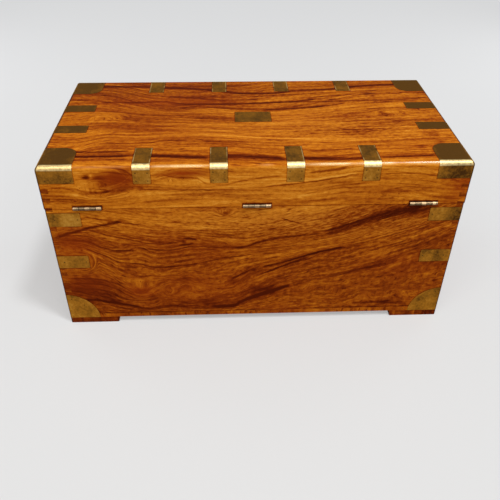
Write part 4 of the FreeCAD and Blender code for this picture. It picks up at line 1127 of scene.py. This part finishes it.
def floor():
    """A pale floor that keeps the object's shadow, at the shadow's share of its full depth."""
    mesh = bpy.data.meshes.new("floor")
    corners = [(sx * FLOOR_HALF, sy * FLOOR_HALF, 0.0) for sx, sy in ((-1, -1), (1, -1), (1, 1), (-1, 1))]
    mesh.from_pydata(corners, [], [(0, 1, 2, 3)])
    ground = bpy.data.objects.new("floor", mesh)
    bpy.context.scene.collection.objects.link(ground)
    material = bpy.data.materials.new("floor")
    tree = empty_tree(material)
    pale = (PALE, PALE, PALE, 1.0)
    y = split(Field(add_node(tree, "TexCoord").outputs["Object"]))[1]
    shade = ease_linear(y, FLOOR_RISE_END, -FLOOR_RISE_END) * FLOOR_RISE + FLOOR_SHADE
    lit = add_node(tree, "BsdfDiffuse", {"Color": point(shade * 0.98, shade, shade * 1.03)})
    even = add_node(tree, "Emission", {"Color": pale, "Strength": 1.0})
    share = backdrop_ray(tree) * (1.0 - SHADOW_SHARE)
    mix = add_node(tree, "MixShader", {"Fac": share})
    tree.links.new(lit.outputs[0], mix.inputs[1])
    tree.links.new(even.outputs[0], mix.inputs[2])
    output = add_node(tree, "OutputMaterial")
    tree.links.new(mix.outputs[0], output.inputs["Surface"])
    mesh.materials.append(material)


def world(strength):
    """Even studio light, with a pale backdrop wherever the camera or a reflection sees it."""
    made = bpy.data.worlds.new("studio")
    tree = empty_tree(made)
    brightness = backdrop_ray(tree) * (PALE - strength) + strength
    background = add_node(tree, "Background", {"Color": (1.0, 1.0, 1.0, 1.0), "Strength": brightness})
    output = add_node(tree, "OutputWorld")
    tree.links.new(background.outputs[0], output.inputs["Surface"])
    bpy.context.scene.world = made


def place_lamp(data, direction):
    """An object for a lamp, whose light travels along direction."""
    lamp = bpy.data.objects.new(data.name, data)
    lamp.rotation_euler = Vector(direction).to_track_quat("-Z", "Y").to_euler()
    bpy.context.scene.collection.objects.link(lamp)
    return lamp


def softbox(name, place, aim, size, power, colour=(1.0, 1.0, 1.0)):
    """A rectangular lamp that looks at a point."""
    data = bpy.data.lights.new(name, "AREA")
    data.shape = "RECTANGLE"
    data.size, data.size_y = size
    data.energy = power
    data.color = colour
    place_lamp(data, Vector(aim) - Vector(place)).location = place


def sun(direction, strength, spread):
    """A soft, distant lamp."""
    data = bpy.data.lights.new("sun", "SUN")
    data.energy = strength
    data.angle = math.radians(spread)
    place_lamp(data, direction)


def lights():
    """The world's light, a sun, a long warm softbox over the back and two fills before the front."""
    world(strength=0.34)
    sun(direction=(0.34, -0.22, -0.91), strength=1.40, spread=8.0)
    softbox("long_softbox", place=(0.0, 1.50, 2.60), aim=(0.0, 0.24, 0.46), size=(3.2, 0.80), power=48.0,
            colour=(1.0, 0.95, 0.86))
    for side in (-1, 1):
        softbox("fill", place=(side * 2.3, -1.5, 0.9), aim=(0.0, 0.0, 0.25), size=(1.2, 1.2), power=9.0)


def camera():
    """The camera, from behind the chest and above it, fitted to the photo's straight edges."""
    place = Vector((0.0650, 1.3761, 1.0924))
    ahead = Vector((-0.0349, -0.7946, -0.6061)).normalized()
    upward = Vector((-0.0185, -0.6058, 0.7954))
    right = ahead.cross(upward).normalized()
    upward = right.cross(ahead)
    data = bpy.data.cameras.new("camera")
    data.sensor_width = 36.0
    data.lens = 42.38
    made = bpy.data.objects.new("camera", data)
    turn = Matrix((right, upward, -ahead)).transposed().to_4x4()
    made.matrix_world = Matrix.Translation(place) @ turn
    bpy.context.scene.collection.objects.link(made)
    bpy.context.scene.camera = made


camera()
floor()
lights()
paint_wood()
paint_metal()
bpy.context.scene.view_settings.view_transform = "Standard"
